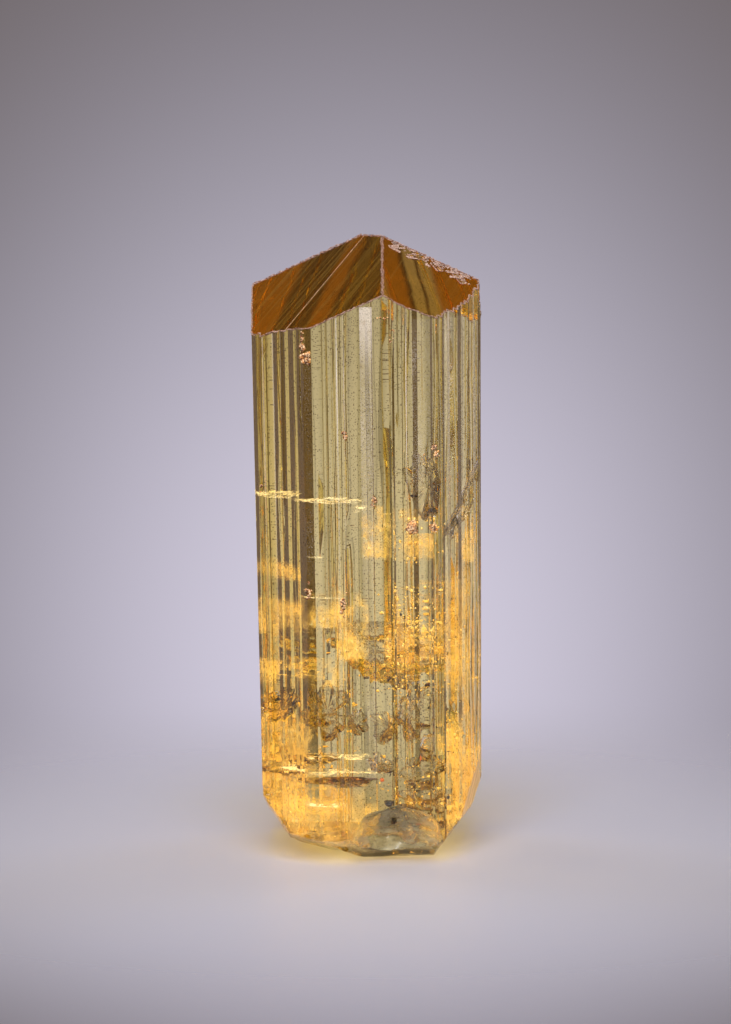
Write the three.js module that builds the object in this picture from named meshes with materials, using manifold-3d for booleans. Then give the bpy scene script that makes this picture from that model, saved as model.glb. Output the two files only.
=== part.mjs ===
// A golden scapolite crystal: a grooved four-sided prism with a low pyramid on top and a broken, worn foot.
// Millimetres, +Z up. The origin is on the surface that the crystal stands on, under the middle of its box.
// The front of the crystal looks along -Y. An azimuth is measured from there towards +X, in degrees.

import * as THREE from "three";
import { mergeVertices } from "three/addons/utils/BufferGeometryUtils.js";
import Module from "manifold-3d";

const wasm = await Module();
wasm.setup();

// Driving dimensions
const HEIGHT = 42;
const APEX = new THREE.Vector3(1.06, 0.5, HEIGHT);
const TOP_RIDGE = 1.43; // the apex is a short level ridge: it runs this far back, and as far to the left
const PYRAMID_SLOPE = 33; // how far the pyramid faces lean from level
const LEFT_TAPER = 0.9; // how far the left side draws in from the apex down to the foot
const RIGHT_FLARE = 0.2; // how far the right side widens on the same way
const COLOUR = 0xd9a441;

// The two prism forms of a tetragonal crystal, and a rarer one between them
const FRONT = 0;
const RIGHT = 90;
const BACK = 180;
const LEFT = 270;
const FRONT_RIGHT = 45;
const FRONT_LEFT = -45;
const BACK_RIGHT = 135;
const BACK_LEFT = 225;
const BETWEEN = 26.6;
const WHOLE_TURN = 360;

// Growth also leaves strips that are a few degrees off the front
const SLIGHT = 6;
const MODERATE = 10;
const MARKED = 33;

// Where the strips of the front start, and about where they end
const LEFT_FRONT_CORNER = [-7.82, -4.5];
const RIGHT_CORNER = [7.62, 0.2];

// Strips of the front, from left to right: the azimuth that each faces, and its width
const LEFT_FRONT_STRIPS = [
  [FRONT_LEFT, 0.39], [FRONT, 0.26], [FRONT_LEFT, 0.1], [LEFT, 0.46], [-SLIGHT, 0.55], [FRONT, 0.26],
  [FRONT_LEFT, 0.39], [FRONT, 0.2], [FRONT_LEFT, 0.48], [FRONT, 0.24], [FRONT_LEFT, 0.48], [FRONT, 0.2],
  [FRONT_LEFT, 0.68], [-MARKED, 0.62],
];
const GROOVE = [[FRONT_RIGHT, 0.07], [FRONT, 0.06], [FRONT_LEFT, 0.07]];
const FRONT_STRIPS = [
  [FRONT, 1.3], ...GROOVE, [FRONT, 0.34], ...GROOVE, [FRONT, 1.1], [-SLIGHT, 0.86], [FRONT, 0.1],
  [MARKED, 0.08], [FRONT, 1.3], [FRONT_LEFT, 0.22], [FRONT, 0.5], ...GROOVE, [FRONT, 0.56],
  [BETWEEN, 0.38], [FRONT, 0.45], [MODERATE, 0.42], [FRONT_RIGHT, 0.2],
];
const RIGHT_FRONT_STRIPS = [
  [SLIGHT, 0.34], [RIGHT, 0.4], [MODERATE, 0.34], [RIGHT, 0.4], [FRONT_RIGHT, 0.2], [RIGHT, 0.35],
  [FRONT, 0.2], [RIGHT, 0.35], [MODERATE, 0.46], [RIGHT, 0.5], [SLIGHT, 0.28], [RIGHT, 0.45],
  [FRONT_RIGHT, 0.34], [RIGHT, 0.4], [SLIGHT, 0.26], [RIGHT, 0.45], [SLIGHT, 0.26], [RIGHT, 0.45],
  [FRONT_RIGHT, 0.1], [RIGHT, 0.5], [FRONT, 0.28], [RIGHT, 0.6], [FRONT_RIGHT, 0.1], [RIGHT, 0.5],
  [MODERATE, 0.28], [RIGHT, 0.6], [FRONT_RIGHT, 0.12], [RIGHT, 0.6],
];

// The other sides, on from the front: the corner that each reaches, the two faces that it steps between,
// how many steps it takes, and how deep the groove after each step is
const SIDES = [
  { name: "right", to: [7.86, 6.4], faces: [FRONT_RIGHT, RIGHT], steps: 6, groove: 0.08 },
  { name: "right back", to: [7.3, 7.45], faces: [RIGHT, BACK_RIGHT], steps: 3, groove: 0 },
  { name: "back, to its middle", to: [0.6, 7.9], faces: [BACK_RIGHT, BACK], steps: 7, groove: 0.1 },
  { name: "back, past its middle", to: [-7.1, 7.65], faces: [BACK, BACK_LEFT], steps: 6, groove: 0.07 },
  { name: "left back", to: [-7.6, 6.9], faces: [BACK_LEFT, LEFT], steps: 3, groove: 0 },
  { name: "left, to its middle", to: [-7.86, 0.5], faces: [BACK_LEFT, LEFT], steps: 5, groove: 0.09 },
  {
    name: "left, past its middle",
    to: LEFT_FRONT_CORNER,
    faces: [LEFT, WHOLE_TURN + FRONT_LEFT],
    steps: 6,
    groove: 0.06,
  },
];
const GROOVE_FLOOR = 0.8; // how wide a groove's floor is, as a share of its depth
const LEAST_SHARE = 0.35; // how narrow a step may be beside the others
const STRIP_SEED = 11;

// Where the foot broke: a point on each scar, the azimuth that it faces, its lean from level, and its hollow
const SCARS = [
  { name: "front", at: [1, -3.3, 0], azimuth: 5, lean: 26, hollow: 0.1 },
  { name: "front left", at: [-0.75, -3, 0], azimuth: -52, lean: 21, hollow: 0.1 },
  { name: "left", at: [-4.4, -3, 0], azimuth: -80, lean: 57, hollow: 0.2 },
  { name: "left back", at: [-3.6, 3.5, 0], azimuth: -115, lean: 35, hollow: 0.3 },
  { name: "back", at: [1, 4.6, 0], azimuth: 180, lean: 22, hollow: 0.2 },
  { name: "right back", at: [4.9, 3.5, 0], azimuth: 112, lean: 45, hollow: 0.25 },
  { name: "right", at: [4.9, -1, 0], azimuth: 80, lean: 54, hollow: 0.1 },
  { name: "right side", at: [7.38, 0.5, 4.36], azimuth: 82, lean: 77.5, hollow: 0 },
];
const SCAR_SIZE = 22;
const SCAR_CELLS = 22;
const SCAR_DEPTH = 9;
const RIPPLE_LENGTH = 1.7;
const RIPPLE_HEIGHT = 0.05;

// Chips: the middle of the cut, its half sizes, and the azimuth that its thin side faces
const CHIPS = [
  { name: "front scar", at: [2.1, -7.7, 1.5], half: [3.1, 3.4, 2.8], azimuth: 12 },
  { name: "left front face", at: [-6.55, -6.4, 8.3], half: [2.3, 0.9, 3.4], azimuth: -45 },
  { name: "front face, low", at: [-3.9, -7.6, 4.1], half: [0.7, 0.35, 1.3], azimuth: -30 },
  { name: "left edge, high", at: [-6.9, -4.2, 4.6], half: [0.7, 0.8, 0.6], azimuth: -60 },
  { name: "left edge, low", at: [-5.95, -4.9, 2.75], half: [0.5, 1, 0.3], azimuth: -10 },
  { name: "front ledge", at: [-3.6, -6, 1.9], half: [0.8, 0.7, 0.4], azimuth: -20 },
  { name: "front ledge end", at: [-1.6, -4.8, 0.9], half: [0.6, 0.9, 0.5], azimuth: -35 },
  { name: "front right edge", at: [5, -4.4, 1], half: [0.7, 0.7, 0.6], azimuth: 40 },
  { name: "right edge", at: [6.8, -1.2, 1.95], half: [0.7, 2.4, 0.4], azimuth: 8 },
  { name: "back edge", at: [2.4, 7, 1.7], half: [1.2, 0.8, 0.7], azimuth: 175 },
  { name: "left back edge", at: [-6.2, 5.4, 3.6], half: [0.8, 0.9, 0.9], azimuth: -130 },
];

// Etch pits, which the rusty stain sits in: across and up on the front, half width, half height, and tilt
const PIT_DEPTH = 0.2;
const PITS = [
  { x: -4.05, z: 34.3, half: [0.28, 0.36], tilt: 0 },
  { x: -4.25, z: 35.3, half: [0.12, 0.8], tilt: 6 },
  { x: -1.45, z: 29.1, half: [0.14, 0.34], tilt: -8 },
  { x: 0.5, z: 24.7, half: [0.17, 0.46], tilt: 0 },
  { x: 3.05, z: 22.9, half: [0.28, 0.36], tilt: 30 },
  { x: 4.6, z: 28.1, half: [0.16, 0.55], tilt: -22 },
  { x: 4.5, z: 22.9, half: [0.18, 0.34], tilt: -30 },
  { x: -3.9, z: 18.5, half: [0.17, 0.4], tilt: 0 },
  { x: -1.6, z: 17.7, half: [0.14, 0.5], tilt: 10 },
];

// Little steps broken out of the right pyramid face, along the ridge: distance from the apex and sizes
const RIDGE_CHIPS = [
  { out: 2.4, width: 1.3, length: 0.5 },
  { out: 3.7, width: 0.5, length: 0.9 },
  { out: 5.2, width: 0.45, length: 1.2 },
];
const RIDGE_CHIP_DEPTH = 0.16;
const RIDGE_CHIP_TURN = 38;
const RIDGE_CHIP_GAP = 0.35; // how far the steps stay from the ridge

const BIG = 40;
const ROUND_SIDES = 20;

const radians = THREE.MathUtils.degToRad;

// A repeatable stream of numbers from 0 to 1.
const STREAM_FACTOR = 1664525;
const STREAM_ADDEND = 1013904223;
const STREAM_RANGE = 2 ** 32;
function numberStream(seed) {
  let state = seed;
  return () => {
    state = (state * STREAM_FACTOR + STREAM_ADDEND) % STREAM_RANGE;
    return state / STREAM_RANGE;
  };
}

// A closed geometry as a solid that can be joined and cut.
const SAME_POINT = 1e-5;
function solidOf(geometry) {
  const bare = geometry.index ? geometry.toNonIndexed() : geometry.clone();
  bare.deleteAttribute("normal");
  bare.deleteAttribute("uv");
  const merged = mergeVertices(bare, SAME_POINT);
  return new wasm.Manifold(
    new wasm.Mesh({
      numProp: 3,
      vertProperties: merged.attributes.position.array,
      triVerts: new Uint32Array(merged.index.array),
    }),
  );
}

function geometryOf(solid) {
  const mesh = solid.getMesh();
  const geometry = new THREE.BufferGeometry();
  geometry.setAttribute("position", new THREE.BufferAttribute(mesh.vertProperties, 3));
  geometry.setIndex(new THREE.BufferAttribute(mesh.triVerts, 1));
  return geometry.toNonIndexed();
}

// The way a strip runs, seen from above, when it faces the azimuth.
function runOf(azimuth) {
  return new THREE.Vector2(Math.cos(radians(azimuth)), Math.sin(radians(azimuth)));
}

// The outward direction of a plane that leans from level and faces the azimuth.
function outwardOf(azimuth, lean) {
  const level = Math.sin(radians(lean));
  return new THREE.Vector3(
    Math.sin(radians(azimuth)) * level,
    -Math.cos(radians(azimuth)) * level,
    Math.cos(radians(lean)),
  );
}

// The points reached by walking strips of known width.
function strips(from, list) {
  const at = from.clone();
  return list.map(([azimuth, width]) => at.addScaledVector(runOf(azimuth), width).clone());
}

// Uneven shares that add up to one.
function shares(count, random) {
  const raw = Array.from({ length: count }, () => LEAST_SHARE + random() ** 2);
  const sum = raw.reduce((total, share) => total + share, 0);
  return raw.map((share) => share / sum);
}

// Widths along two faces that together lead from one point to another.
function widthsBetween(from, to, faces) {
  const [first, second] = faces.map(runOf);
  const whole = to.clone().sub(from);
  const turn = first.cross(second);
  return [whole.cross(second) / turn, first.cross(whole) / turn];
}

// A groove of the given depth in a face.
function grooveIn(face, depth) {
  return [[face + 45, depth * Math.SQRT2], [face, depth * GROOVE_FLOOR], [face - 45, depth * Math.SQRT2]];
}

// The strips of a side that steps between two crystal faces, as growth leaves it.
function steppedSide(from, { to, faces, steps, groove }, random) {
  const widths = widthsBetween(from, new THREE.Vector2(...to), faces);
  const wide = widths[0] > widths[1] ? 0 : 1;
  widths[wide] -= steps * groove * (2 + GROOVE_FLOOR);
  const firstShares = shares(steps, random);
  const secondShares = shares(steps, random);
  return firstShares.flatMap((share, i) => [
    [faces[0], widths[0] * share],
    ...(groove > 0 ? grooveIn(faces[wide], groove) : []),
    [faces[1], widths[1] * secondShares[i]],
  ]);
}

// The prism's outline, counter-clockwise from its left front corner.
function prismOutline() {
  const random = numberStream(STRIP_SEED);
  const front = [...LEFT_FRONT_STRIPS, ...FRONT_STRIPS, ...RIGHT_FRONT_STRIPS];
  const points = strips(new THREE.Vector2(...LEFT_FRONT_CORNER), front);
  for (const side of SIDES) {
    const from = points.at(-1);
    points.push(...strips(from, steppedSide(from, side, random)));
  }
  return points;
}

// The whole prism before anything is cut off it, a little too long at both ends.
function prism() {
  const spare = 1;
  const shape = new THREE.Shape(prismOutline());
  const geometry = new THREE.ExtrudeGeometry(shape, { depth: HEIGHT + 2 * spare, bevelEnabled: false });
  geometry.translate(0, 0, -spare);
  const [right] = RIGHT_CORNER;
  const [left] = LEFT_FRONT_CORNER;
  const place = geometry.attributes.position;
  for (let i = 0; i < place.count; i++) {
    const leftShare = (right - place.getX(i)) / (right - left);
    const shift = LEFT_TAPER * leftShare + RIGHT_FLARE * (1 - leftShare);
    place.setX(i, place.getX(i) + shift * (1 - place.getZ(i) / HEIGHT));
  }
  return solidOf(geometry);
}

// Turns a geometry's +Z to the outward direction and moves its origin to the point.
function placed(geometry, at, outward) {
  const turn = new THREE.Quaternion().setFromUnitVectors(new THREE.Vector3(0, 0, 1), outward);
  return geometry.applyQuaternion(turn).translate(at.x, at.y, at.z);
}

// What lies above one pyramid face. The left back face starts at the far end of the top ridge.
function abovePyramidFace(azimuth) {
  const ridgeEnd = new THREE.Vector3(APEX.x - TOP_RIDGE, APEX.y + TOP_RIDGE, HEIGHT);
  const block = new THREE.BoxGeometry(2 * BIG, 2 * BIG, BIG).translate(0, 0, BIG / 2);
  const from = azimuth === BACK_LEFT ? ridgeEnd : APEX;
  return solidOf(placed(block, from, outwardOf(azimuth, PYRAMID_SLOPE)));
}

// What broke away below one scar: a block whose inner face is a rippled shallow bowl.
function belowScar({ at, azimuth, lean, hollow }) {
  const block = new THREE.BoxGeometry(SCAR_SIZE, SCAR_SIZE, SCAR_DEPTH, SCAR_CELLS, SCAR_CELLS, 1);
  block.translate(0, 0, SCAR_DEPTH / 2);
  const place = block.attributes.position;
  for (let i = 0; i < place.count; i++) {
    if (place.getZ(i) > SCAR_DEPTH / 2) continue;
    const reach = Math.hypot(place.getX(i), place.getY(i) - SCAR_SIZE / 4);
    const bowl = hollow * Math.cos(Math.min(reach / SCAR_SIZE, 0.5) * Math.PI);
    const ripple = hollow > 0 ? RIPPLE_HEIGHT * Math.sin((2 * Math.PI * reach) / RIPPLE_LENGTH) : 0;
    place.setZ(i, -bowl + ripple);
  }
  const outward = outwardOf(azimuth, 180 - lean);
  return solidOf(placed(block, new THREE.Vector3(...at), outward));
}

// A chip is broken out as a smooth hollow.
function chip({ at, half, azimuth }) {
  const ball = new THREE.SphereGeometry(1, ROUND_SIDES, ROUND_SIDES / 2);
  ball.scale(...half).rotateZ(radians(azimuth)).translate(...at);
  return solidOf(ball);
}

// How far forward the front of the prism stands at x.
function frontAt(x, outline) {
  const hits = outline.slice(1).flatMap((end, i) => {
    const start = outline[i];
    const within = (start.x - x) * (end.x - x) <= 0 && start.x !== end.x;
    return within ? [THREE.MathUtils.mapLinear(x, start.x, end.x, start.y, end.y)] : [];
  });
  return Math.min(...hits);
}

// An etch pit is a small hollow in the front.
function pit({ x, z, half, tilt }, outline) {
  const ball = new THREE.SphereGeometry(1, ROUND_SIDES, ROUND_SIDES / 2);
  ball.scale(half[0], PIT_DEPTH, half[1]).rotateY(radians(tilt)).translate(x, frontAt(x, outline), z);
  return solidOf(ball);
}

// A step cut into the right pyramid face, beside the ridge that runs down to the right.
function ridgeChip({ out, width, length }) {
  const block = new THREE.BoxGeometry(width, length, 2 * RIDGE_CHIP_DEPTH).rotateZ(radians(RIDGE_CHIP_TURN));
  const drop = Math.tan(radians(PYRAMID_SLOPE)) * Math.SQRT1_2;
  const toFront = RIDGE_CHIP_GAP + length / 2;
  const at = new THREE.Vector3(APEX.x + out, APEX.y - toFront, HEIGHT - drop * (out + toFront));
  return solidOf(placed(block, at, outwardOf(FRONT_RIGHT, PYRAMID_SLOPE)));
}

// What lies below the surface that the crystal stands on.
function floorBlock() {
  return solidOf(new THREE.BoxGeometry(2 * BIG, 2 * BIG, BIG).translate(0, 0, -BIG / 2));
}

function crystalSolid() {
  const outline = prismOutline();
  const cuts = [
    ...[FRONT_RIGHT, BACK_RIGHT, BACK_LEFT, FRONT_LEFT].map(abovePyramidFace),
    ...SCARS.map(belowScar),
    ...CHIPS.map(chip),
    ...PITS.map((one) => pit(one, outline)),
    ...RIDGE_CHIPS.map(ridgeChip),
    floorBlock(),
  ];
  return cuts.reduce((body, cut) => body.subtract(cut), prism());
}

// Moves the middle of the geometry's box over the origin, at its own height.
function centred(geometry) {
  geometry.computeBoundingBox();
  const middle = geometry.boundingBox.getCenter(new THREE.Vector3());
  return geometry.translate(-middle.x, -middle.y, 0);
}

const gem = new THREE.MeshStandardMaterial({
  color: COLOUR,
  roughness: 0.08,
  metalness: 0,
  transparent: true,
  opacity: 0.6,
});
const crystal = new THREE.Mesh(centred(geometryOf(crystalSolid())), gem);
crystal.name = "crystal";

const scapolite = new THREE.Group();
scapolite.add(crystal);

export default scapolite;
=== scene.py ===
# %% [markdown]
# # A golden scapolite crystal
# The object is one gem crystal: a grooved four-sided prism with a low pyramid on top, broken off at the foot.
# It is see-through, so most of its look comes from what light does inside it: the grooves bend the light
# behind it into bright and dark bands, and cracks and cloudy layers inside catch it and glow.
# This script builds the clear body first, then what sits in it and on it, then the light.

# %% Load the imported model
import math

import bmesh
import bpy
import numpy as np
from mathutils import Matrix, Vector, noise


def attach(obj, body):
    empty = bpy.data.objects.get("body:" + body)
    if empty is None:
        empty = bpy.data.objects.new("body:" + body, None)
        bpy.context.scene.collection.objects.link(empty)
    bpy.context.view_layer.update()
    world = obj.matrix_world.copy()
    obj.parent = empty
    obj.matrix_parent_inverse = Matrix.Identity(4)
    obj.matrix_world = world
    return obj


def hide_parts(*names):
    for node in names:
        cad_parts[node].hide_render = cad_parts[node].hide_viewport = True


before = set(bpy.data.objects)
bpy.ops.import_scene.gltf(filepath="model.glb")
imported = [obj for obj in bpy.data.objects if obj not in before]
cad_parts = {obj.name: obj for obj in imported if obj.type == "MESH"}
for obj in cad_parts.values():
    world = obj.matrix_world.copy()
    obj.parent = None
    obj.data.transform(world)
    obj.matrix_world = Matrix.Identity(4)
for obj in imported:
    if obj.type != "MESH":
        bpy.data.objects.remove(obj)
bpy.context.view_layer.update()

print("solids from the model:", list(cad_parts))

# %% [markdown]
# ## Sizes
# A crystal grows with flat faces at fixed angles. Scapolite is tetragonal: its prism has two sets of four
# faces, 45 degrees apart, and the pyramid on top leans about 33 degrees from level. The numbers below give
# where those faces are. They could be measured off a scan, but a short list of angles and widths says it
# better, and the same list builds the solid model. Lengths are millimetres, and an azimuth is counted
# from the front.

# %% Driving sizes
MM = 0.001
HEIGHT = 42
APEX = (1.06, 0.5, HEIGHT)
TOP_RIDGE = 1.43
PYRAMID_SLOPE = 33
LEFT_TAPER = 0.9
RIGHT_FLARE = 0.2

FRONT, RIGHT, BACK, LEFT = 0, 90, 180, 270
FRONT_RIGHT, FRONT_LEFT, BACK_RIGHT, BACK_LEFT = 45, -45, 135, 225
BETWEEN, SLIGHT, MODERATE, MARKED = 26.6, 6, 10, 33
WHOLE_TURN = 360

LEFT_FRONT_CORNER = (-7.82, -4.5)
RIGHT_CORNER = (7.62, 0.2)
GROOVE_FLOOR = 0.8
STRIP_SEED = 11

LEFT_FRONT_STRIPS = [
    (FRONT_LEFT, 0.39), (FRONT, 0.26), (FRONT_LEFT, 0.1), (LEFT, 0.46), (-SLIGHT, 0.55), (FRONT, 0.26),
    (FRONT_LEFT, 0.39), (FRONT, 0.2), (FRONT_LEFT, 0.48), (FRONT, 0.24), (FRONT_LEFT, 0.48), (FRONT, 0.2),
    (FRONT_LEFT, 0.68), (-MARKED, 0.62),
]
GROOVE = [(FRONT_RIGHT, 0.07), (FRONT, 0.06), (FRONT_LEFT, 0.07)]
FRONT_STRIPS = [
    (FRONT, 1.3), *GROOVE, (FRONT, 0.34), *GROOVE, (FRONT, 1.1), (-SLIGHT, 0.86), (FRONT, 0.1),
    (MARKED, 0.08), (FRONT, 1.3), (FRONT_LEFT, 0.22), (FRONT, 0.5), *GROOVE, (FRONT, 0.56),
    (BETWEEN, 0.38), (FRONT, 0.45), (MODERATE, 0.42), (FRONT_RIGHT, 0.2),
]
RIGHT_FRONT_STRIPS = [
    (SLIGHT, 0.34), (RIGHT, 0.4), (MODERATE, 0.34), (RIGHT, 0.4), (FRONT_RIGHT, 0.2), (RIGHT, 0.35),
    (FRONT, 0.2), (RIGHT, 0.35), (MODERATE, 0.46), (RIGHT, 0.5), (SLIGHT, 0.28), (RIGHT, 0.45),
    (FRONT_RIGHT, 0.34), (RIGHT, 0.4), (SLIGHT, 0.26), (RIGHT, 0.45), (SLIGHT, 0.26), (RIGHT, 0.45),
    (FRONT_RIGHT, 0.1), (RIGHT, 0.5), (FRONT, 0.28), (RIGHT, 0.6), (FRONT_RIGHT, 0.1), (RIGHT, 0.5),
    (MODERATE, 0.28), (RIGHT, 0.6), (FRONT_RIGHT, 0.12), (RIGHT, 0.6),
]
SIDES = [
    # the corner that the side reaches, its two faces, its steps, the depth of its grooves
    ((7.86, 6.4), (FRONT_RIGHT, RIGHT), 6, 0.08),
    ((7.3, 7.45), (RIGHT, BACK_RIGHT), 3, 0),
    ((0.6, 7.9), (BACK_RIGHT, BACK), 7, 0.1),
    ((-7.1, 7.65), (BACK, BACK_LEFT), 6, 0.07),
    ((-7.6, 6.9), (BACK_LEFT, LEFT), 3, 0),
    ((-7.86, 0.5), (BACK_LEFT, LEFT), 5, 0.09),
    (LEFT_FRONT_CORNER, (LEFT, WHOLE_TURN + FRONT_LEFT), 6, 0.06),
]

# %% [markdown]
# ## The outline of the prism
# Seen from above, the prism's edge is a walk: so far along one face, a little along the next, and so on.
# Long runs are the flat faces and short ones are the grooves. The steps of the sides and back are drawn from
# a fixed stream of numbers, so that every run gives the same crystal.

# %% Walk around the outline
STREAM_FACTOR, STREAM_ADDEND, STREAM_RANGE = 1664525, 1013904223, 2 ** 32
LEAST_SHARE = 0.35


def number_stream(seed):
    """A repeatable stream of numbers from 0 to 1."""
    state = seed
    while True:
        state = (state * STREAM_FACTOR + STREAM_ADDEND) % STREAM_RANGE
        yield state / STREAM_RANGE


def between(span, share):
    """The number that lies at a share of the way from one end to the other."""
    return span[0] + (span[1] - span[0]) * share


def run_of(azimuth):
    return np.array([math.cos(math.radians(azimuth)), math.sin(math.radians(azimuth))])


def shares(count, random):
    raw = [LEAST_SHARE + next(random) ** 2 for _ in range(count)]
    return [share / sum(raw) for share in raw]


def cross(a, b):
    return a[0] * b[1] - a[1] * b[0]


def widths_between(start, end, faces):
    first, second = run_of(faces[0]), run_of(faces[1])
    whole = np.array(end) - start
    turn = cross(first, second)
    return [cross(whole, second) / turn, cross(first, whole) / turn]


def groove_in(face, depth):
    slope = depth * math.sqrt(2)
    return [(face + 45, slope), (face, depth * GROOVE_FLOOR), (face - 45, slope)]


def stepped_side(start, end, faces, steps, groove, random):
    widths = widths_between(start, end, faces)
    wide = 0 if widths[0] > widths[1] else 1
    widths[wide] -= steps * groove * (2 + GROOVE_FLOOR)
    first_shares = shares(steps, random)
    second_shares = shares(steps, random)
    walk = []
    for share, other in zip(first_shares, second_shares):
        walk.append((faces[0], widths[0] * share))
        if groove > 0:
            walk += groove_in(faces[wide], groove)
        walk.append((faces[1], widths[1] * other))
    return walk


def outline_walk():
    random = number_stream(STRIP_SEED)
    walk = [*LEFT_FRONT_STRIPS, *FRONT_STRIPS, *RIGHT_FRONT_STRIPS]
    at = np.array(LEFT_FRONT_CORNER)
    for azimuth, width in walk:
        at = at + run_of(azimuth) * width
    for end, faces, steps, groove in SIDES:
        side = stepped_side(at, end, faces, steps, groove, random)
        for azimuth, width in side:
            at = at + run_of(azimuth) * width
        walk += side
    return walk


walk = outline_walk()
print("strips around the prism:", len(walk))

# %% [markdown]
# ## Fine striae
# Between the big grooves a real prism has hair-thin ones that begin and end part of the way up. A bump map
# could fake them, but light is bent by the real slope of a surface, so here each is a small V in the outline
# whose depth fades to nothing at its two ends.

# %% Outline points with fine striae
STRIA_SEED = 23
STRIA_SPACING = 0.42
STRIA_WIDTH = (0.03, 0.09)
STRIA_DEPTH = (0.006, 0.02)
STRIA_FADE = 2.5


def fine_outline(walk):
    """Points of the outline, each with its way inward, a depth, and the heights between which it is sunk."""
    random = number_stream(STRIA_SEED)
    at = np.array(LEFT_FRONT_CORNER)
    points = []
    for azimuth, width in walk:
        run = run_of(azimuth)
        inward = np.array([-run[1], run[0]])
        points.append((at, inward, 0.0, 0.0, 0.0))
        count = int(width / STRIA_SPACING)
        for i in range(count):
            middle = (i + 0.3 + 0.4 * next(random)) * width / count
            half = between(STRIA_WIDTH, next(random))
            depth = between(STRIA_DEPTH, next(random))
            low = HEIGHT * (next(random) * 1.2 - 0.4)
            high = low + HEIGHT * (0.2 + next(random) * 0.9)
            for offset, deep in ((-half, 0.0), (0.0, depth), (half, 0.0)):
                points.append((at + run * (middle + offset), inward, deep, low, high))
        at = at + run * width
    return points


outline = fine_outline(walk)
print("points around the prism:", len(outline))

# %% [markdown]
# ## The prism
# The outline is stacked in rows from below the foot to above the top, and closed at both ends. The left side
# draws in a little towards the foot and the right side flares, as on the real one. Each row also sways by a
# few hundredths of a millimetre, since no growth line is quite straight.

# %% Stack the rows
ROW_STEP = 0.9
SWAY = 0.012
SWAY_LENGTH = 7.0
SWAY_GRAIN = 1.7


def ramp(low, high, value):
    share = min(max((value - low) / (high - low), 0.0), 1.0)
    return share * share * (3 - 2 * share)


def tapered(x, z):
    left_share = (RIGHT_CORNER[0] - x) / (RIGHT_CORNER[0] - LEFT_FRONT_CORNER[0])
    shift = LEFT_TAPER * left_share + RIGHT_FLARE * (1 - left_share)
    return x + shift * (1 - z / HEIGHT)


def sway_at(x, y, z):
    return SWAY * noise.noise(Vector((x * SWAY_GRAIN, y * SWAY_GRAIN, z / SWAY_LENGTH)))


def prism_row(z):
    row = []
    for at, inward, depth, low, high in outline:
        sunk = depth * ramp(low, low + STRIA_FADE, z) * (1 - ramp(high - STRIA_FADE, high, z))
        x, y = at + inward * (sunk + sway_at(*at, z))
        row.append((tapered(x, z), y, z))
    return row


def closed_rows(rows):
    """A closed mesh from rows of points that all run the same way round."""
    count = len(rows[0])
    points = [point for row in rows for point in row]
    faces = [tuple(reversed(range(count)))]
    for level in range(len(rows) - 1):
        low, high = level * count, (level + 1) * count
        for i in range(count):
            j = (i + 1) % count
            faces.append((low + i, low + j, high + j, high + i))
    faces.append(tuple(range(len(points) - count, len(points))))
    return points, faces


def mesh_of(name, points, faces):
    mesh = bpy.data.meshes.new(name)
    mesh.from_pydata([Vector(p) for p in points], [], faces)
    mesh.update()
    return mesh


def joined(parts):
    """One list of points and faces from several."""
    points, faces = [], []
    for more_points, more_faces in parts:
        first = len(points)
        points += more_points
        faces += [tuple(first + i for i in face) for face in more_faces]
    return points, faces


def object_of(name, mesh):
    thing = bpy.data.objects.new(name, mesh)
    bpy.context.scene.collection.objects.link(thing)
    return thing


row_heights = np.arange(-1, HEIGHT + 1 + ROW_STEP, ROW_STEP)
prism = object_of("scapolite_crystal", mesh_of("prism", *closed_rows([prism_row(z) for z in row_heights])))
print("faces of the prism:", len(prism.data.polygons))

# %% [markdown]
# ## Cutting blocks
# The pyramid, the broken foot and the chips are all cut off the prism with blocks, by boolean difference.
# The face of a block that is left on the crystal is a fine grid, so it can carry the steps of a growth face
# or the ripples of a break. Sculpting would give the same, but not the same twice.

# %% A block with a shaped face
def outward_of(azimuth, lean):
    """The way that a plane faces when it leans so far from level."""
    turn, level = math.radians(azimuth), math.sin(math.radians(lean))
    return Vector((math.sin(turn) * level, -math.cos(turn) * level, math.cos(math.radians(lean))))


def grid_faces(rows, columns):
    """The faces of a grid of points, row after row."""
    corners = [j * columns + i for j in range(rows - 1) for i in range(columns - 1)]
    return [(a, a + 1, a + columns + 1, a + columns) for a in corners]


def block_with_face(size, cells, depth, height_at):
    """A block from the shaped face at z=0 up to depth. height_at gives the face's height over x and y."""
    side = cells + 1
    line = np.linspace(-size / 2, size / 2, side)
    points = [(x, y, height_at(x, y)) for y in line for x in line]
    faces = [(a, d, c, b) for a, b, c, d in grid_faces(side, side)]
    rim = [*range(side), *range(side + cells, side * side, side)]
    rim += [*range(side * side - 2, cells * side - 1, -1), *range((cells - 1) * side, 0, -side)]
    top = len(points)
    points += [(*points[i][:2], depth) for i in rim]
    for k in range(len(rim)):
        n = (k + 1) % len(rim)
        faces.append((rim[k], rim[n], top + n, top + k))
    faces.append(tuple(range(top, top + len(rim))))
    return points, faces


def placed(points, at, outward):
    turn = Vector((0, 0, 1)).rotation_difference(outward).to_matrix()
    return [turn @ Vector(p) + Vector(at) for p in points]


def cut(body, mesh):
    """Cuts a closed mesh off the body."""
    cutter = object_of("cutter", mesh)
    modifier = body.modifiers.new("cut", "BOOLEAN")
    modifier.operation = "DIFFERENCE"
    modifier.solver = "MANIFOLD"
    modifier.object = cutter
    depsgraph = bpy.context.evaluated_depsgraph_get()
    done = bpy.data.meshes.new_from_object(body.evaluated_get(depsgraph))
    body.modifiers.remove(modifier)
    old, body.data = body.data, done
    bpy.data.meshes.remove(old)
    bpy.data.objects.remove(cutter)


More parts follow.
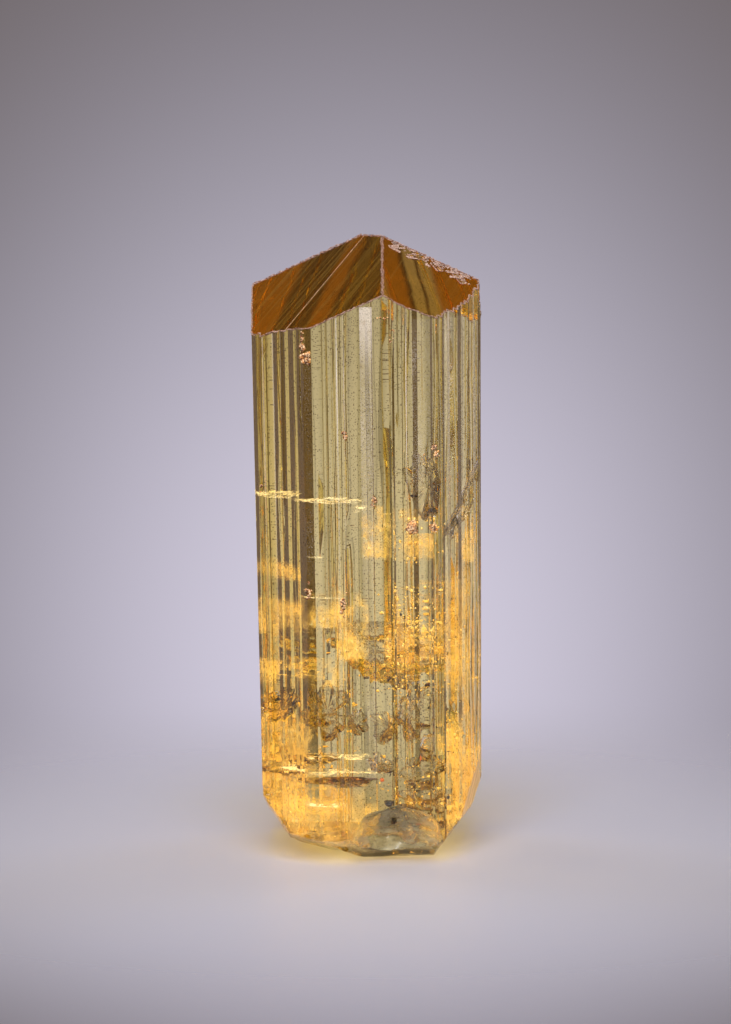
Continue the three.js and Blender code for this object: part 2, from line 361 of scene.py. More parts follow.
def cut_placed(body, shape, at, outward):
    """Cuts a shape off the body, with its origin at a point and its +Z outward."""
    points, faces = shape
    cut(body, mesh_of("cutter", placed(points, at, outward), faces))


def mesh_from(name, body):
    """A mesh of what an editing body holds. The body is let go."""
    mesh = bpy.data.meshes.new(name)
    body.to_mesh(mesh)
    body.free()
    return mesh


# %% [markdown]
# ## The pyramid
# Growth leaves a pyramid face covered in very low parallel steps. In this crystal they run up to the right on
# the left face. Each strip of the face gets its own small height, which is enough to break up what is seen
# through it. The top is not a point but a short level ridge.

# %% Cut the four pyramid faces
GROWTH_SIZE = 30
GROWTH_CELLS = 120
GROWTH_SEED = 5
GROWTH_FACES = {
    # azimuth: which way its growth lines run on the face, in degrees, and how high their steps are
    FRONT_LEFT: (52, 0.012),
    FRONT_RIGHT: (104, 0.012),
    BACK_RIGHT: (60, 0.01),
    BACK_LEFT: (120, 0.01),
}


def growth_height(direction, relief, seed):
    across = run_of(direction + 90)

    def height_at(x, y):
        along = x * across[0] + y * across[1]
        coarse = noise.noise(Vector((along * 0.9, seed, 0.5)))
        fine = noise.noise(Vector((along * 3.1, seed, 7.5)))
        return relief * (coarse + 0.5 * fine)

    return height_at


def cut_pyramid(body):
    ridge_end = (APEX[0] - TOP_RIDGE, APEX[1] + TOP_RIDGE, HEIGHT)
    for number, (azimuth, (direction, relief)) in enumerate(GROWTH_FACES.items()):
        height_at = growth_height(direction, relief, GROWTH_SEED + number)
        block = block_with_face(GROWTH_SIZE, GROWTH_CELLS, GROWTH_SIZE / 2, height_at)
        start = ridge_end if azimuth == BACK_LEFT else APEX
        cut_placed(body, block, start, outward_of(azimuth, PYRAMID_SLOPE))


cut_pyramid(prism)
print("faces after the pyramid:", len(prism.data.polygons))

# %% [markdown]
# ## The broken foot
# Scapolite breaks like glass: each scar is a shallow bowl with ripples around the point that was struck.
# The scars stand at different angles, and they leave a small flat in the middle that the crystal rests on.

# %% Cut the scars and the chips
SCARS = [
    # a point on the scar, the azimuth that it faces, its lean from level, its hollow
    ((1, -3.3, 0), 5, 26, 0.1),
    ((-0.75, -3, 0), -52, 21, 0.1),
    ((-4.4, -3, 0), -80, 57, 0.2),
    ((-3.6, 3.5, 0), -115, 35, 0.3),
    ((1, 4.6, 0), 180, 22, 0.2),
    ((4.9, 3.5, 0), 112, 45, 0.25),
    ((4.9, -1, 0), 80, 54, 0.1),
    ((7.38, 0.5, 4.36), 82, 77.5, 0),
]
SCAR_SIZE = 22
SCAR_CELLS = 110
SCAR_DEPTH = 9
RIPPLE_LENGTH = 1.7
RIPPLE_HEIGHT = 0.05
HACKLE_LENGTH = 0.45
HACKLE_HEIGHT = 0.035

CHIPS = [
    # the middle of the cut, its half sizes, the azimuth that its thin side faces
    ((2.1, -7.7, 1.5), (3.1, 3.4, 2.8), 12),
    ((-6.55, -6.4, 8.3), (2.3, 0.9, 3.4), -45),
    ((-3.9, -7.6, 4.1), (0.7, 0.35, 1.3), -30),
    ((-6.9, -4.2, 4.6), (0.7, 0.8, 0.6), -60),
    ((-5.95, -4.9, 2.75), (0.5, 1, 0.3), -10),
    ((-3.6, -6, 1.9), (0.8, 0.7, 0.4), -20),
    ((-1.6, -4.8, 0.9), (0.6, 0.9, 0.5), -35),
    ((5, -4.4, 1), (0.7, 0.7, 0.6), 40),
    ((6.8, -1.2, 1.95), (0.7, 2.4, 0.4), 8),
    ((2.4, 7, 1.7), (1.2, 0.8, 0.7), 175),
    ((-6.2, 5.4, 3.6), (0.8, 0.9, 0.9), -130),
]
CHIP_ROUGHNESS = 0.12
RIDGE_CHIPS = [(2.4, 1.3, 0.5), (3.7, 0.5, 0.9), (5.2, 0.45, 1.2)]
RIDGE_CHIP_DEPTH = 0.16
RIDGE_CHIP_TURN = 38
RIDGE_CHIP_GAP = 0.35
FLOOR_CUT = 40


def scar_height(hollow, number):
    def height_at(x, y):
        reach = math.hypot(x, y - SCAR_SIZE / 4)
        bowl = hollow * math.cos(min(reach / SCAR_SIZE, 0.5) * math.pi)
        uneven = noise.noise(Vector((x / 3, y / 3, number * 5)))
        ripple = RIPPLE_HEIGHT * math.sin(math.tau * (reach + uneven) / RIPPLE_LENGTH) if hollow > 0 else 0
        spot = Vector((x / HACKLE_LENGTH, y / HACKLE_LENGTH, number * 3))
        hackle = HACKLE_HEIGHT * noise.turbulence(spot, 3, False) * ramp(-0.2, 0.5, uneven)
        return ripple + hackle - bowl

    return height_at


def scar_block(number):
    hollow = SCARS[number][-1]
    return block_with_face(SCAR_SIZE, SCAR_CELLS, SCAR_DEPTH, scar_height(hollow, number))


def cut_scars(body):
    for number, (at, azimuth, lean, hollow) in enumerate(SCARS):
        cut_placed(body, scar_block(number), at, outward_of(azimuth, 180 - lean))


def lump(half, at, turn, rough, detail):
    """An uneven ball with the given half sizes."""
    ball = bmesh.new()
    bmesh.ops.create_icosphere(ball, subdivisions=detail, radius=1)
    for vert in ball.verts:
        vert.co *= 1 + rough * noise.noise(vert.co * 2.3 + Vector(at))
        vert.co = turn @ Vector([c * h for c, h in zip(vert.co, half)]) + Vector(at)
    return mesh_from("lump", ball)


def chip_ball(at, half, azimuth, detail):
    return lump(half, at, Matrix.Rotation(math.radians(azimuth), 3, "Z"), CHIP_ROUGHNESS, detail)


def ridge_chip(out, width, length):
    """The block that takes one step out of the right face, beside its ridge."""
    block = bmesh.new()
    bmesh.ops.create_cube(block, size=1)
    turn = Matrix.Rotation(math.radians(RIDGE_CHIP_TURN), 4, "Z")
    sizes = Matrix.Diagonal((width, length, 2 * RIDGE_CHIP_DEPTH, 1))
    bmesh.ops.transform(block, matrix=turn @ sizes, verts=block.verts)
    drop = math.tan(math.radians(PYRAMID_SLOPE)) / math.sqrt(2)
    to_front = RIDGE_CHIP_GAP + length / 2
    at = (APEX[0] + out, APEX[1] - to_front, HEIGHT - drop * (out + to_front))
    corners = placed([v.co for v in block.verts], at, outward_of(FRONT_RIGHT, PYRAMID_SLOPE))
    for vert, corner in zip(block.verts, corners):
        vert.co = corner
    return mesh_from("chip", block)


def cut_chips(body):
    for chip in CHIPS:
        cut(body, chip_ball(*chip, 5))
    for chip in RIDGE_CHIPS:
        cut(body, ridge_chip(*chip))


def floor_block():
    """What lies below the surface that the crystal stands on."""
    block = bmesh.new()
    bmesh.ops.create_cube(block, size=FLOOR_CUT)
    bmesh.ops.translate(block, vec=(0, 0, -FLOOR_CUT / 2), verts=block.verts)
    return mesh_from("floor_cut", block)


cut_scars(prism)
cut_chips(prism)
cut(prism, floor_block())
print("faces after the breaks:", len(prism.data.polygons))

# %% Etch pits on the front
PIT_DEPTH = 0.2
PIT_ROUGHNESS = 0.25
PITS = [
    # across and up, half width and half height, tilt
    (-4.05, 34.3, (0.28, 0.36), 0), (-4.25, 35.3, (0.12, 0.8), 6), (-1.45, 29.1, (0.14, 0.34), -8),
    (0.5, 24.7, (0.17, 0.46), 0), (3.05, 22.9, (0.28, 0.36), 30), (4.6, 28.1, (0.16, 0.55), -22),
    (4.5, 22.9, (0.18, 0.34), -30), (-3.9, 18.5, (0.17, 0.4), 0), (-1.6, 17.7, (0.14, 0.5), 10),
]


def front_at(x):
    """How far forward the front of the prism stands at x."""
    hits = []
    for (start, *_), (end, *_) in zip(outline, outline[1:]):
        if (start[0] - x) * (end[0] - x) <= 0 and start[0] != end[0]:
            hits.append(float(np.interp(x, *zip(*sorted([(start[0], start[1]), (end[0], end[1])])))))
    return min(hits)


def cut_pits(body):
    for x, z, (across, up), tilt in PITS:
        turn = Matrix.Rotation(math.radians(tilt), 3, "Y")
        cut(body, lump((across, PIT_DEPTH, up), (x, front_at(x), z), turn, PIT_ROUGHNESS, 3))


cut_pits(prism)
print("faces after the pits:", len(prism.data.polygons))

# %% [markdown]
# ## Cracks inside
# A crack in a gem is a gap of air as thin as foil. Seen at a low angle it is a mirror, and seen straight on
# it is hardly there. Painting that on a sheet never looks right, so each crack here is a real gap: a thin
# curved dish with an uneven rim is cut out of the inside of the body, and the light does the rest.

# %% Cut the cracks
CRACK_RINGS = 14
CRACK_SPOKES = 48
CRACKS = [
    # middle, half sizes, the azimuth that it faces, its lean from level, bowl, waviness, thickness, seed
    ((4.0, -5.6, 25.6), (1.2, 2.3), -24, 74, 0.5, 0.22, 0.09, 3),
    ((6.55, -1.6, 24.5), (0.8, 3.4), 40, 82, 0.3, 0.2, 0.09, 8),
    ((-5.6, -5.0, 10.4), (1.7, 1.5), -38, 58, 0.5, 0.3, 0.1, 14),
    ((-2.6, -4.4, 10.2), (1.3, 1.9), 10, 62, 0.7, 0.3, 0.1, 21),
    ((2.9, -3.4, 10.2), (1.2, 1.9), 24, 78, 0.6, 0.4, 0.09, 33),
    ((3.9, -3.2, 5.9), (1.4, 1.3), -12, 68, 0.5, 0.4, 0.09, 41),
    ((-4.6, -2.8, 6.3), (2.6, 1.7), -16, 30, 0.5, 0.35, 0.1, 52),
    ((3.6, -1.8, 3.6), (1.6, 1.2), 20, 34, 0.5, 0.35, 0.09, 60),
    ((1.2, 4.2, 13.5), (3.2, 2.4), 170, 64, 0.8, 0.4, 0.1, 71),
    ((-4.4, 3.4, 7.5), (2.0, 2.6), 236, 60, 0.6, 0.35, 0.1, 84),
    ((5.2, 2.8, 8.5), (1.5, 2.9), 100, 66, 0.6, 0.35, 0.1, 93),
    ((1.4, -5.2, 9.2), (0.8, 1.2), -34, 76, 0.4, 0.3, 0.07, 101),
    ((0.8, -4.6, 6.7), (0.9, 0.7), 30, 66, 0.4, 0.3, 0.07, 107),
    ((3.6, -5.0, 7.8), (0.6, 1.2), 40, 78, 0.4, 0.3, 0.07, 113),
    ((-0.7, -5.2, 9.6), (0.7, 0.9), 16, 74, 0.4, 0.3, 0.07, 119),
    ((2.2, -4.8, 12.4), (0.9, 0.7), 12, 66, 0.4, 0.3, 0.07, 127),
    ((-1.35, -5.0, 5.6), (2.25, 0.75), 0, 22, 0.05, 0.1, 0.07, 137),
]


def dish_point(half, bowl, wave, share, turn, seed):
    """Across, up and out, at a share of the way from a dish's middle to its uneven rim."""
    round_rim = Vector((math.cos(turn) * 1.6, math.sin(turn) * 1.6, seed))
    reach = share * (1 + 0.45 * noise.noise(round_rim) + 0.16 * noise.noise(round_rim * 3.7))
    x, y = half[0] * reach * math.cos(turn), half[1] * reach * math.sin(turn)
    height = bowl * share * share + wave * noise.noise(Vector((x * 0.7, y * 0.7, seed + 9)))
    return x, y, height + wave * 0.3 * noise.noise(Vector((x * 2.2, y * 2.2, seed + 5)))


def dish(half, bowl, wave, thickness, seed):
    """A closed thin dish round the origin, facing +Z, with an uneven rim."""
    middle = wave * 1.3 * noise.noise(Vector((0, 0, seed + 9)))
    points = [(0, 0, middle + thickness / 2), (0, 0, middle - thickness / 2)]
    turns = [math.tau * k / CRACK_SPOKES for k in range(CRACK_SPOKES)]
    upper, lower = [], []
    for ring in range(1, CRACK_RINGS + 1):
        share = ring / CRACK_RINGS
        gap = thickness / 2 * math.sqrt(max(1 - share * share, 0))
        around = [dish_point(half, bowl, wave, share, turn, seed) for turn in turns]
        upper.append(range(len(points), len(points) + CRACK_SPOKES))
        points += [(x, y, height + gap) for x, y, height in around]
        if ring < CRACK_RINGS:
            lower.append(range(len(points), len(points) + CRACK_SPOKES))
            points += [(x, y, height - gap) for x, y, height in around]
    lower.append(upper[-1])
    faces = []
    for k in range(CRACK_SPOKES):
        n = (k + 1) % CRACK_SPOKES
        faces += [(0, upper[0][k], upper[0][n]), (1, lower[0][n], lower[0][k])]
        for inner, outer in zip(range(CRACK_RINGS - 1), range(1, CRACK_RINGS)):
            faces.append((upper[inner][k], upper[outer][k], upper[outer][n], upper[inner][n]))
            faces.append((lower[inner][n], lower[outer][n], lower[outer][k], lower[inner][k]))
    return points, faces


def cut_cracks(body):
    for at, half, azimuth, lean, *form in CRACKS:
        cut_placed(body, dish(half, *form), at, outward_of(azimuth, lean))


cut_cracks(prism)
print("faces after the cracks:", len(prism.data.polygons))

# %% [markdown]
# ## To metres, and over the origin
# The solid model is centred over the origin, so the same is done here: the box's middle is measured once, and
# every later piece is moved by the same amount.

# %% Move the crystal into the frame
corners = np.array([tuple(v.co) for v in prism.data.vertices])
box_middle = (corners.min(0) + corners.max(0)) / 2
TO_MIDDLE = Vector((-box_middle[0], -box_middle[1], 0))


def into_frame(mesh):
    mesh.transform(Matrix.Scale(MM, 4) @ Matrix.Translation(TO_MIDDLE))
    mesh.update()


def in_frame(point):
    """A place in millimetres, moved into the frame and given in metres."""
    return (Vector(point) + TO_MIDDLE) * MM


into_frame(prism.data)
SHARP_ANGLE = 12
prism.data.shade_smooth()
prism.data.set_sharp_from_angle(angle=math.radians(SHARP_ANGLE))
print("moved to the middle by, in mm:", [round(c, 3) for c in TO_MIDDLE])

# %% [markdown]
# ## Patches and grains
# Frost, dust, cloud and stain all come in patches with an uneven rim. One shader node group makes that mask
# from layered noise, and every material below uses it with its own scale, cover and softness. Points are read
# in metres from the object itself, so that the scale is real.

# %% Node helpers and the patch group
def feed(tree, socket, value):
    """Links a socket to what another node puts out, or sets it to a plain value."""
    if hasattr(value, "links"):
        tree.links.new(value, socket)
    else:
        socket.default_value = value


def new_node(tree, kind, inputs=None, **settings):
    """A node with its settings made and its inputs linked or set."""
    node = tree.nodes.new("ShaderNode" + kind)
    for name, value in settings.items():
        setattr(node, name, value)
    for name, value in (inputs or {}).items():
        feed(tree, node.inputs[name], value)
    return node


def math_node(tree, operation, *values):
    return new_node(tree, "Math", dict(enumerate(values)), operation=operation).outputs[0]


def product(tree, first, *others):
    for other in others:
        first = math_node(tree, "MULTIPLY", first, other)
    return first


def mix_colour(tree, share, first, second):
    inputs = {"Factor": share, "A": first, "B": second}
    return new_node(tree, "Mix", inputs, data_type="RGBA").outputs["Result"]


def smooth_range(tree, value, low, high, to_low=0.0, to_high=1.0):
    inputs = {"Value": value, "From Min": low, "From Max": high, "To Min": to_low, "To Max": to_high}
    return new_node(tree, "MapRange", inputs, interpolation_type="SMOOTHSTEP").outputs["Result"]


def patch_group():
    """Mask of uneven patches, by their size in metres, how much they cover, and how soft their rims are."""
    group = bpy.data.node_groups.new("Patches", "ShaderNodeTree")
    numbers = {"Size": 0.001, "Cover": 0.5, "Softness": 0.1, "Roughness": 0.6, "Stretch": 1.0}
    for name, value in numbers.items():
        group.interface.new_socket(name, in_out="INPUT", socket_type="NodeSocketFloat").default_value = value
    group.interface.new_socket("Offset", in_out="INPUT", socket_type="NodeSocketVector")
    group.interface.new_socket("Mask", in_out="OUTPUT", socket_type="NodeSocketFloat")
    given = group.nodes.new("NodeGroupInput").outputs
    place = new_node(group, "TexCoord").outputs["Object"]
    stretch = new_node(group, "CombineXYZ", {"X": 1, "Y": 1, "Z": given["Stretch"]})
    pulled = new_node(group, "VectorMath", {0: place, 1: stretch.outputs[0]}, operation="MULTIPLY")
    moved = new_node(group, "VectorMath", {0: pulled.outputs[0], 1: given["Offset"]}, operation="ADD")
    scale = math_node(group, "DIVIDE", 1.0, given["Size"])
    inputs = {"Vector": moved.outputs[0], "Scale": scale, "Detail": 5, "Roughness": given["Roughness"]}
    layers = new_node(group, "TexNoise", inputs)
    cover = smooth_range(group, given["Cover"], 0, 1, 0.75, 0.25)
    high = math_node(group, "ADD", cover, given["Softness"])
    mask = smooth_range(group, layers.outputs[0], cover, high)
    group.links.new(mask, group.nodes.new("NodeGroupOutput").inputs["Mask"])
    return group


PATCHES = patch_group()


def patches(tree, size, cover, softness=0.1, roughness=0.6, stretch=1.0, offset=(0, 0, 0)):
    """Places the patch group. The size is in millimetres."""
    values = (size * MM, cover, softness, roughness, stretch, offset)
    inputs = dict(zip(("Size", "Cover", "Softness", "Roughness", "Stretch", "Offset"), values))
    return new_node(tree, "Group", inputs, node_tree=PATCHES).outputs["Mask"]


def new_material(name):
    material = bpy.data.materials.new(name)
    material.use_nodes = True
    tree = material.node_tree
    tree.nodes.clear()
    output = tree.nodes.new("ShaderNodeOutputMaterial")
    shader = tree.nodes.new("ShaderNodeBsdfPrincipled")
    tree.links.new(shader.outputs["BSDF"], output.inputs["Surface"])
    return material, tree, shader, output


def place_on(tree):
    """Where a point is on the object, in metres."""
    return new_node(tree, "TexCoord").outputs["Object"]


def split_of(tree, vector):
    """X, Y and Z of a vector, as three sockets."""
    return new_node(tree, "SeparateXYZ", {"Vector": vector}).outputs


def position(tree):
    return split_of(tree, place_on(tree))


def facing(tree):
    return split_of(tree, new_node(tree, "NewGeometry").outputs["True Normal"])


def dress(tree, shader, colour, roughness, relief, depth, cover=None):
    """Gives a shader its colour, roughness, bump and cover. The bump's depth is in millimetres."""
    feed(tree, shader.inputs["Base Color"], colour)
    shader.inputs["Roughness"].default_value = roughness
    bump = new_node(tree, "Bump", {"Distance": depth * MM, "Strength": 1, "Height": relief})
    tree.links.new(bump.outputs["Normal"], shader.inputs["Normal"])
    if cover is not None:
        tree.links.new(cover, shader.inputs["Alpha"])


print("patch group inputs:", [item.name for item in PATCHES.interface.items_tree])

# %% [markdown]
# ## Clear golden gem
# The body is a glass-like solid with the refractive index of scapolite. The gold is not on its surface: light
# loses its blue on the way through, so the colour comes from an absorption volume. The pyramid faces are
# stained orange-brown in bands, a thin gold film covers the strips at the left, and dust sits in tiny dark
# grains on the prism. A stain on glass goes in Base Color, which tints what passes through. Lamps reach
# what is inside because their rays get a clear shader.

# %% Gem material
GEM_IOR = 1.55
GEM_DENSITY = 88
GEM_COLOUR = (0.955, 0.85, 0.2, 1)
GEM_ROUGHNESS = 0.02
LAMP_TINT = (0.93, 0.88, 0.75, 1)
CLEAN = (1, 0.97, 0.9, 1)
GOLD_FILM = (1, 0.87, 0.52, 1)
FILM_FROM, FILM_TO = -4.4, -3.6
DUST = (0.13, 0.09, 0.05, 1)
DUST_SPACING = 0.12
STAIN_ORANGE = (0.42, 0.066, 0.0001, 1)
STAIN_BROWN = (0.075, 0.017, 0.0004, 1)
STAIN_OLIVE = (0.15, 0.05, 0.002, 1)
STAIN_TAN = (0.58, 0.28, 0.05, 1)
STAIN_LINE = (0.55, 0.26, 0.03, 1)
LEFT_FAN_ANGLE = 62
LEFT_FAN = [
    # where a colour begins across the bands, in millimetres from the middle
    (-25.2, STAIN_ORANGE), (-22.9, STAIN_ORANGE), (-22.4, STAIN_BROWN), (-20.9, STAIN_BROWN),
    (-20.5, STAIN_ORANGE), (-20.0, STAIN_ORANGE), (-19.6, STAIN_BROWN), (-19.1, STAIN_OLIVE),
    (-18.7, STAIN_BROWN), (-18.3, STAIN_OLIVE), (-17.9, STAIN_BROWN), (-17.0, STAIN_OLIVE),
]
RIGHT_FAN_ANGLE = 106
RIGHT_FAN = [
    (11.6, STAIN_TAN), (12.1, STAIN_ORANGE), (12.9, STAIN_ORANGE), (13.3, STAIN_BROWN), (13.55, STAIN_TAN),
    (13.95, STAIN_TAN), (14.15, STAIN_BROWN), (14.4, STAIN_TAN), (14.7, STAIN_TAN), (15.2, STAIN_ORANGE),
    (18.5, STAIN_ORANGE),
]
# the growth lines on each side: how steep they run, how far apart, how many, and how strong
LEFT_LINES = [(48, 0.3, 0.55, 0.35), (47, 0.11, 0.55, 0.4)]
RIGHT_LINES = [(52, 0.16, 0.4, 0.3)]


def pyramid_mask(tree):
    """1 on the faces that look well upward and sit near the top, 0 elsewhere."""
    upward = smooth_range(tree, math_node(tree, "ABSOLUTE", facing(tree)["Z"]), 0.55, 0.65)
    return product(tree, upward, smooth_range(tree, position(tree)[2], 0.028, 0.029))


def across_bands(tree, angle):
    """How far a point lies across bands that run up at the angle, seen from the front, in millimetres."""
    x, y, z = position(tree)
    turn = math.radians(angle)
    across = math_node(tree, "SUBTRACT", product(tree, x, math.sin(turn)), product(tree, z, math.cos(turn)))
    return math_node(tree, "DIVIDE", across, MM)


def wavering(tree, value, amount, size):
    """The value moved a little to and fro over the surface."""
    waver = new_node(tree, "TexNoise", {"Vector": place_on(tree), "Scale": 1 / (size * MM), "Detail": 3})
    shift = product(tree, math_node(tree, "SUBTRACT", waver.outputs[0], 0.5), 2 * amount)
    return math_node(tree, "ADD", value, shift)


def fan(tree, across, stops):
    """Soft bands of colour, from a list of places and colours."""
    low, high = stops[0][0], stops[-1][0]
    share = new_node(tree, "MapRange", {"Value": across, "From Min": low, "From Max": high})
    bands = new_node(tree, "ValToRGB", {"Fac": share.outputs["Result"]})
    bands.color_ramp.interpolation = "EASE"
    elements = bands.color_ramp.elements
    while len(elements) < len(stops):
        elements.new(0.5)
    for element, (place, colour) in zip(elements, stops):
        element.position = (place - low) / (high - low)
        element.color = colour
    return bands.outputs["Color"]


def with_lines(tree, colour, lines):
    """The colour with thin growth lines on it, from a list of them."""
    for angle, spacing, cover, share in lines:
        inputs = {"W": across_bands(tree, angle), "Scale": 1 / spacing, "Detail": 3, "Roughness": 0.7}
        grain = new_node(tree, "TexNoise", inputs, noise_dimensions="1D").outputs[0]
        thin = smooth_range(tree, grain, 0.68 - 0.3 * cover, 0.82 - 0.3 * cover)
        colour = mix_colour(tree, product(tree, thin, share), colour, STAIN_LINE)
    return colour


def pyramid_stain(tree):
    """Orange, brown and tan bands: one fan of them on the left of the top, another on the right."""
    left = fan(tree, wavering(tree, across_bands(tree, LEFT_FAN_ANGLE), 0.25, 2.5), LEFT_FAN)
    right = fan(tree, wavering(tree, across_bands(tree, RIGHT_FAN_ANGLE), 0.25, 3), RIGHT_FAN)
    left, right = with_lines(tree, left, LEFT_LINES), with_lines(tree, right, RIGHT_LINES)
    way = facing(tree)
    side = product(tree, math_node(tree, "SIGN", way["X"]), math_node(tree, "SIGN", way["Z"]))
    return mix_colour(tree, smooth_range(tree, side, -0.5, 0.5), left, right)


def dust_dots(tree):
    """Small round specks, in most cells of a fine grid."""
    cells = new_node(tree, "TexVoronoi", {"Vector": place_on(tree), "Scale": 1 / (DUST_SPACING * MM)})
    chance = new_node(tree, "SeparateColor", {0: cells.outputs["Color"]}).outputs[0]
    size = smooth_range(tree, chance, 0, 1, -0.04, 0.34)
    return smooth_range(tree, cells.outputs["Distance"], size, math_node(tree, "ADD", size, 0.06), 1, 0)


def gem_material():
    material, tree, shader, output = new_material("golden_gem")
    shader.inputs["Transmission Weight"].default_value = 1
    shader.inputs["Metallic"].default_value = 0
    shader.inputs["IOR"].default_value = GEM_IOR
    shader.inputs["Roughness"].default_value = GEM_ROUGHNESS
    film = smooth_range(tree, position(tree)[0], FILM_FROM * MM, FILM_TO * MM)
    dusty = product(tree, dust_dots(tree), patches(tree, 2.2, 0.88, 0.3, 0.6, 0.3))
    clean = mix_colour(tree, dusty, mix_colour(tree, film, GOLD_FILM, CLEAN), DUST)
    colour = mix_colour(tree, pyramid_mask(tree), clean, pyramid_stain(tree))
    tree.links.new(colour, shader.inputs["Base Color"])
    volume = new_node(tree, "VolumeAbsorption", {"Color": GEM_COLOUR, "Density": GEM_DENSITY})
    tree.links.new(volume.outputs["Volume"], output.inputs["Volume"])
    is_shadow = new_node(tree, "LightPath").outputs["Is Shadow Ray"]
    through = new_node(tree, "BsdfTransparent", {"Color": LAMP_TINT}).outputs["BSDF"]
    mix = new_node(tree, "MixShader", {0: is_shadow, 1: shader.outputs["BSDF"], 2: through})
    tree.links.new(mix.outputs["Shader"], output.inputs["Surface"])
    return material


def keep(thing, material):
    """Gives a piece its material and lets it ride with the crystal."""
    thing.data.materials.clear()
    thing.data.materials.append(material)
    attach(thing, "root")


def piece(name, shape, material):
    """A piece of its own, from points and faces."""
    thing = object_of(name, mesh_of(name, *shape))
    keep(thing, material)
    print(name, "faces:", len(thing.data.polygons))
    return thing


keep(prism, gem_material())
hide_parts("crystal")

# %% [markdown]
# ## Frosted edges
# The edges of the top are bruised: each is a thin, grainy, pinkish-white line. A bevel would stay clear like
# the rest, so the line is a piece of its own. It is found by its angle: every edge between a pyramid face and
# something else becomes a thin uneven cord that is half sunk in the gem.

# %% Find the edges and make them frosty
RIM_RADIUS = 0.055
RIDGE_RADIUS = 0.09
CHIP_RADIUS = 0.03
RIM_LOWEST = 33
SHORTEST_EDGE = 0.03
CORD_SIDES = 6
CORD_STEP = 0.12
CORD_GRAIN = 0.25
CORD_LEAST = 0.01
LOOKS_UP, LOOKS_OUT = 0.6, 0.3  # how far upward a pyramid face and a prism face look
RIDGE_ANGLE = 20


def top_at(x, y):
    """The height of the pyramid over a place, in millimetres."""
    outs = [(x - APEX[0]) * side - (y - APEX[1]) for side in (1, -1)]
    return HEIGHT - math.tan(math.radians(PYRAMID_SLOPE)) * max(0, *outs) / math.sqrt(2)


def sharp_edges(mesh, wanted):
    body = bmesh.new()
    body.from_mesh(mesh)
    body.normal_update()
    found = []
    for edge in body.edges:
        if len(edge.link_faces) == 2 and min(v.co.z for v in edge.verts) > RIM_LOWEST * MM:
            if wanted(*[face.normal for face in edge.link_faces]):
                found.append([v.co.copy() for v in edge.verts])
    body.free()
    return found


def is_rim(a, b):
    return max(a.z, b.z) > LOOKS_UP and min(a.z, b.z) < LOOKS_OUT


def is_ridge(a, b):
    return min(a.z, b.z) > LOOKS_UP and a.angle(b) > math.radians(RIDGE_ANGLE)


def is_chip_edge(a, b):
    return max(a.z, b.z) > LOOKS_UP and LOOKS_OUT <= min(a.z, b.z) < LOOKS_UP


def cord_along(edges, radius):
    """A mesh of short cords with closed ends, one along each edge."""
    points, faces = [], []
    turns = [math.tau * k / CORD_SIDES for k in range(CORD_SIDES)]
    for start, end in edges:
        along = end - start
        count = max(1, int(along.length / (CORD_STEP * MM)))
        upright = Vector((0, 0, 1)).rotation_difference(along).to_matrix()
        first = len(points)
        for level in range(count + 1):
            middle = start + along * (level / count)
            for k, turn in enumerate(turns):
                rough = noise.noise(middle / (CORD_GRAIN * MM) + Vector((k * 1.3, 0, 0)))
                reach = max(radius * MM * (1 + 0.9 * rough), CORD_LEAST * MM)
                points.append(middle + upright @ Vector((math.cos(turn), math.sin(turn), 0)) * reach)
        for ring in range(first, first + count * CORD_SIDES, CORD_SIDES):
            for k in range(CORD_SIDES):
                a, b = ring + k, ring + (k + 1) % CORD_SIDES
                faces.append((a, b, b + CORD_SIDES, a + CORD_SIDES))
        last = first + count * CORD_SIDES
        faces.append(tuple(reversed(range(first, first + CORD_SIDES))))
        faces.append(tuple(range(last, last + CORD_SIDES)))
    return points, faces


def frost_material(name, pale, brown, cover):
    material, tree, shader, output = new_material(name)
    tone = mix_colour(tree, patches(tree, 0.16, 0.5, 0.08), pale, brown)
    grainy = patches(tree, 0.16, cover, 0.06, 0.75)
    dress(tree, shader, tone, 0.55, patches(tree, 0.08, 0.5, 0.3), 0.03, grainy)
    return material


rim_frost = frost_material("bruised_rim", (0.50, 0.32, 0.26, 1), (0.18, 0.08, 0.045, 1), 0.58)
ridge_frost = frost_material("bruised_ridge", (0.58, 0.36, 0.29, 1), (0.18, 0.07, 0.04, 1), 0.54)
rim_edges = [e for e in sharp_edges(prism.data, is_rim) if (e[0] - e[1]).length > SHORTEST_EDGE * MM]
piece("frosted_rim", cord_along(rim_edges, RIM_RADIUS), rim_frost)
piece("frosted_ridges", cord_along(sharp_edges(prism.data, is_ridge), RIDGE_RADIUS), ridge_frost)
piece("chip_edges", cord_along(sharp_edges(prism.data, is_chip_edge), CHIP_RADIUS), rim_frost)

# %% [markdown]
# ## A scratch and flaked-off chips
# One long bright scratch crosses the left face of the top, along the growth lines. Beside the ridge that runs
# down to the right the gem has flaked: tiny flat shards stick there, and their broken sides catch the light.
# Every shard is a thin plate with uneven corners that lies on the face.

# %% The scratch and the shards
SCRATCH_FROM = -5.43
SCRATCH_TO = (-0.15, 1.7)
SCRATCH_RADIUS = 0.017
SHARD_SEED = 41
SHARD_COUNT = 110
SHARD_REACH = (0.5, 6.0)
SHARD_TURNS = (38, -12)
SHARD_THICKNESS = 0.03
SHARD_CORNERS = ((-1, -1), (1, -1), (1, 1), (-1, 1))
ON_GEM = 0.05


def on_top(x, y):
    """The point of the pyramid over a place, in the frame."""
    return in_frame((x, y, top_at(x, y)))


def is_on_gem(point):
    return (prism.closest_point_on_mesh(point)[1] - point).length < ON_GEM * MM


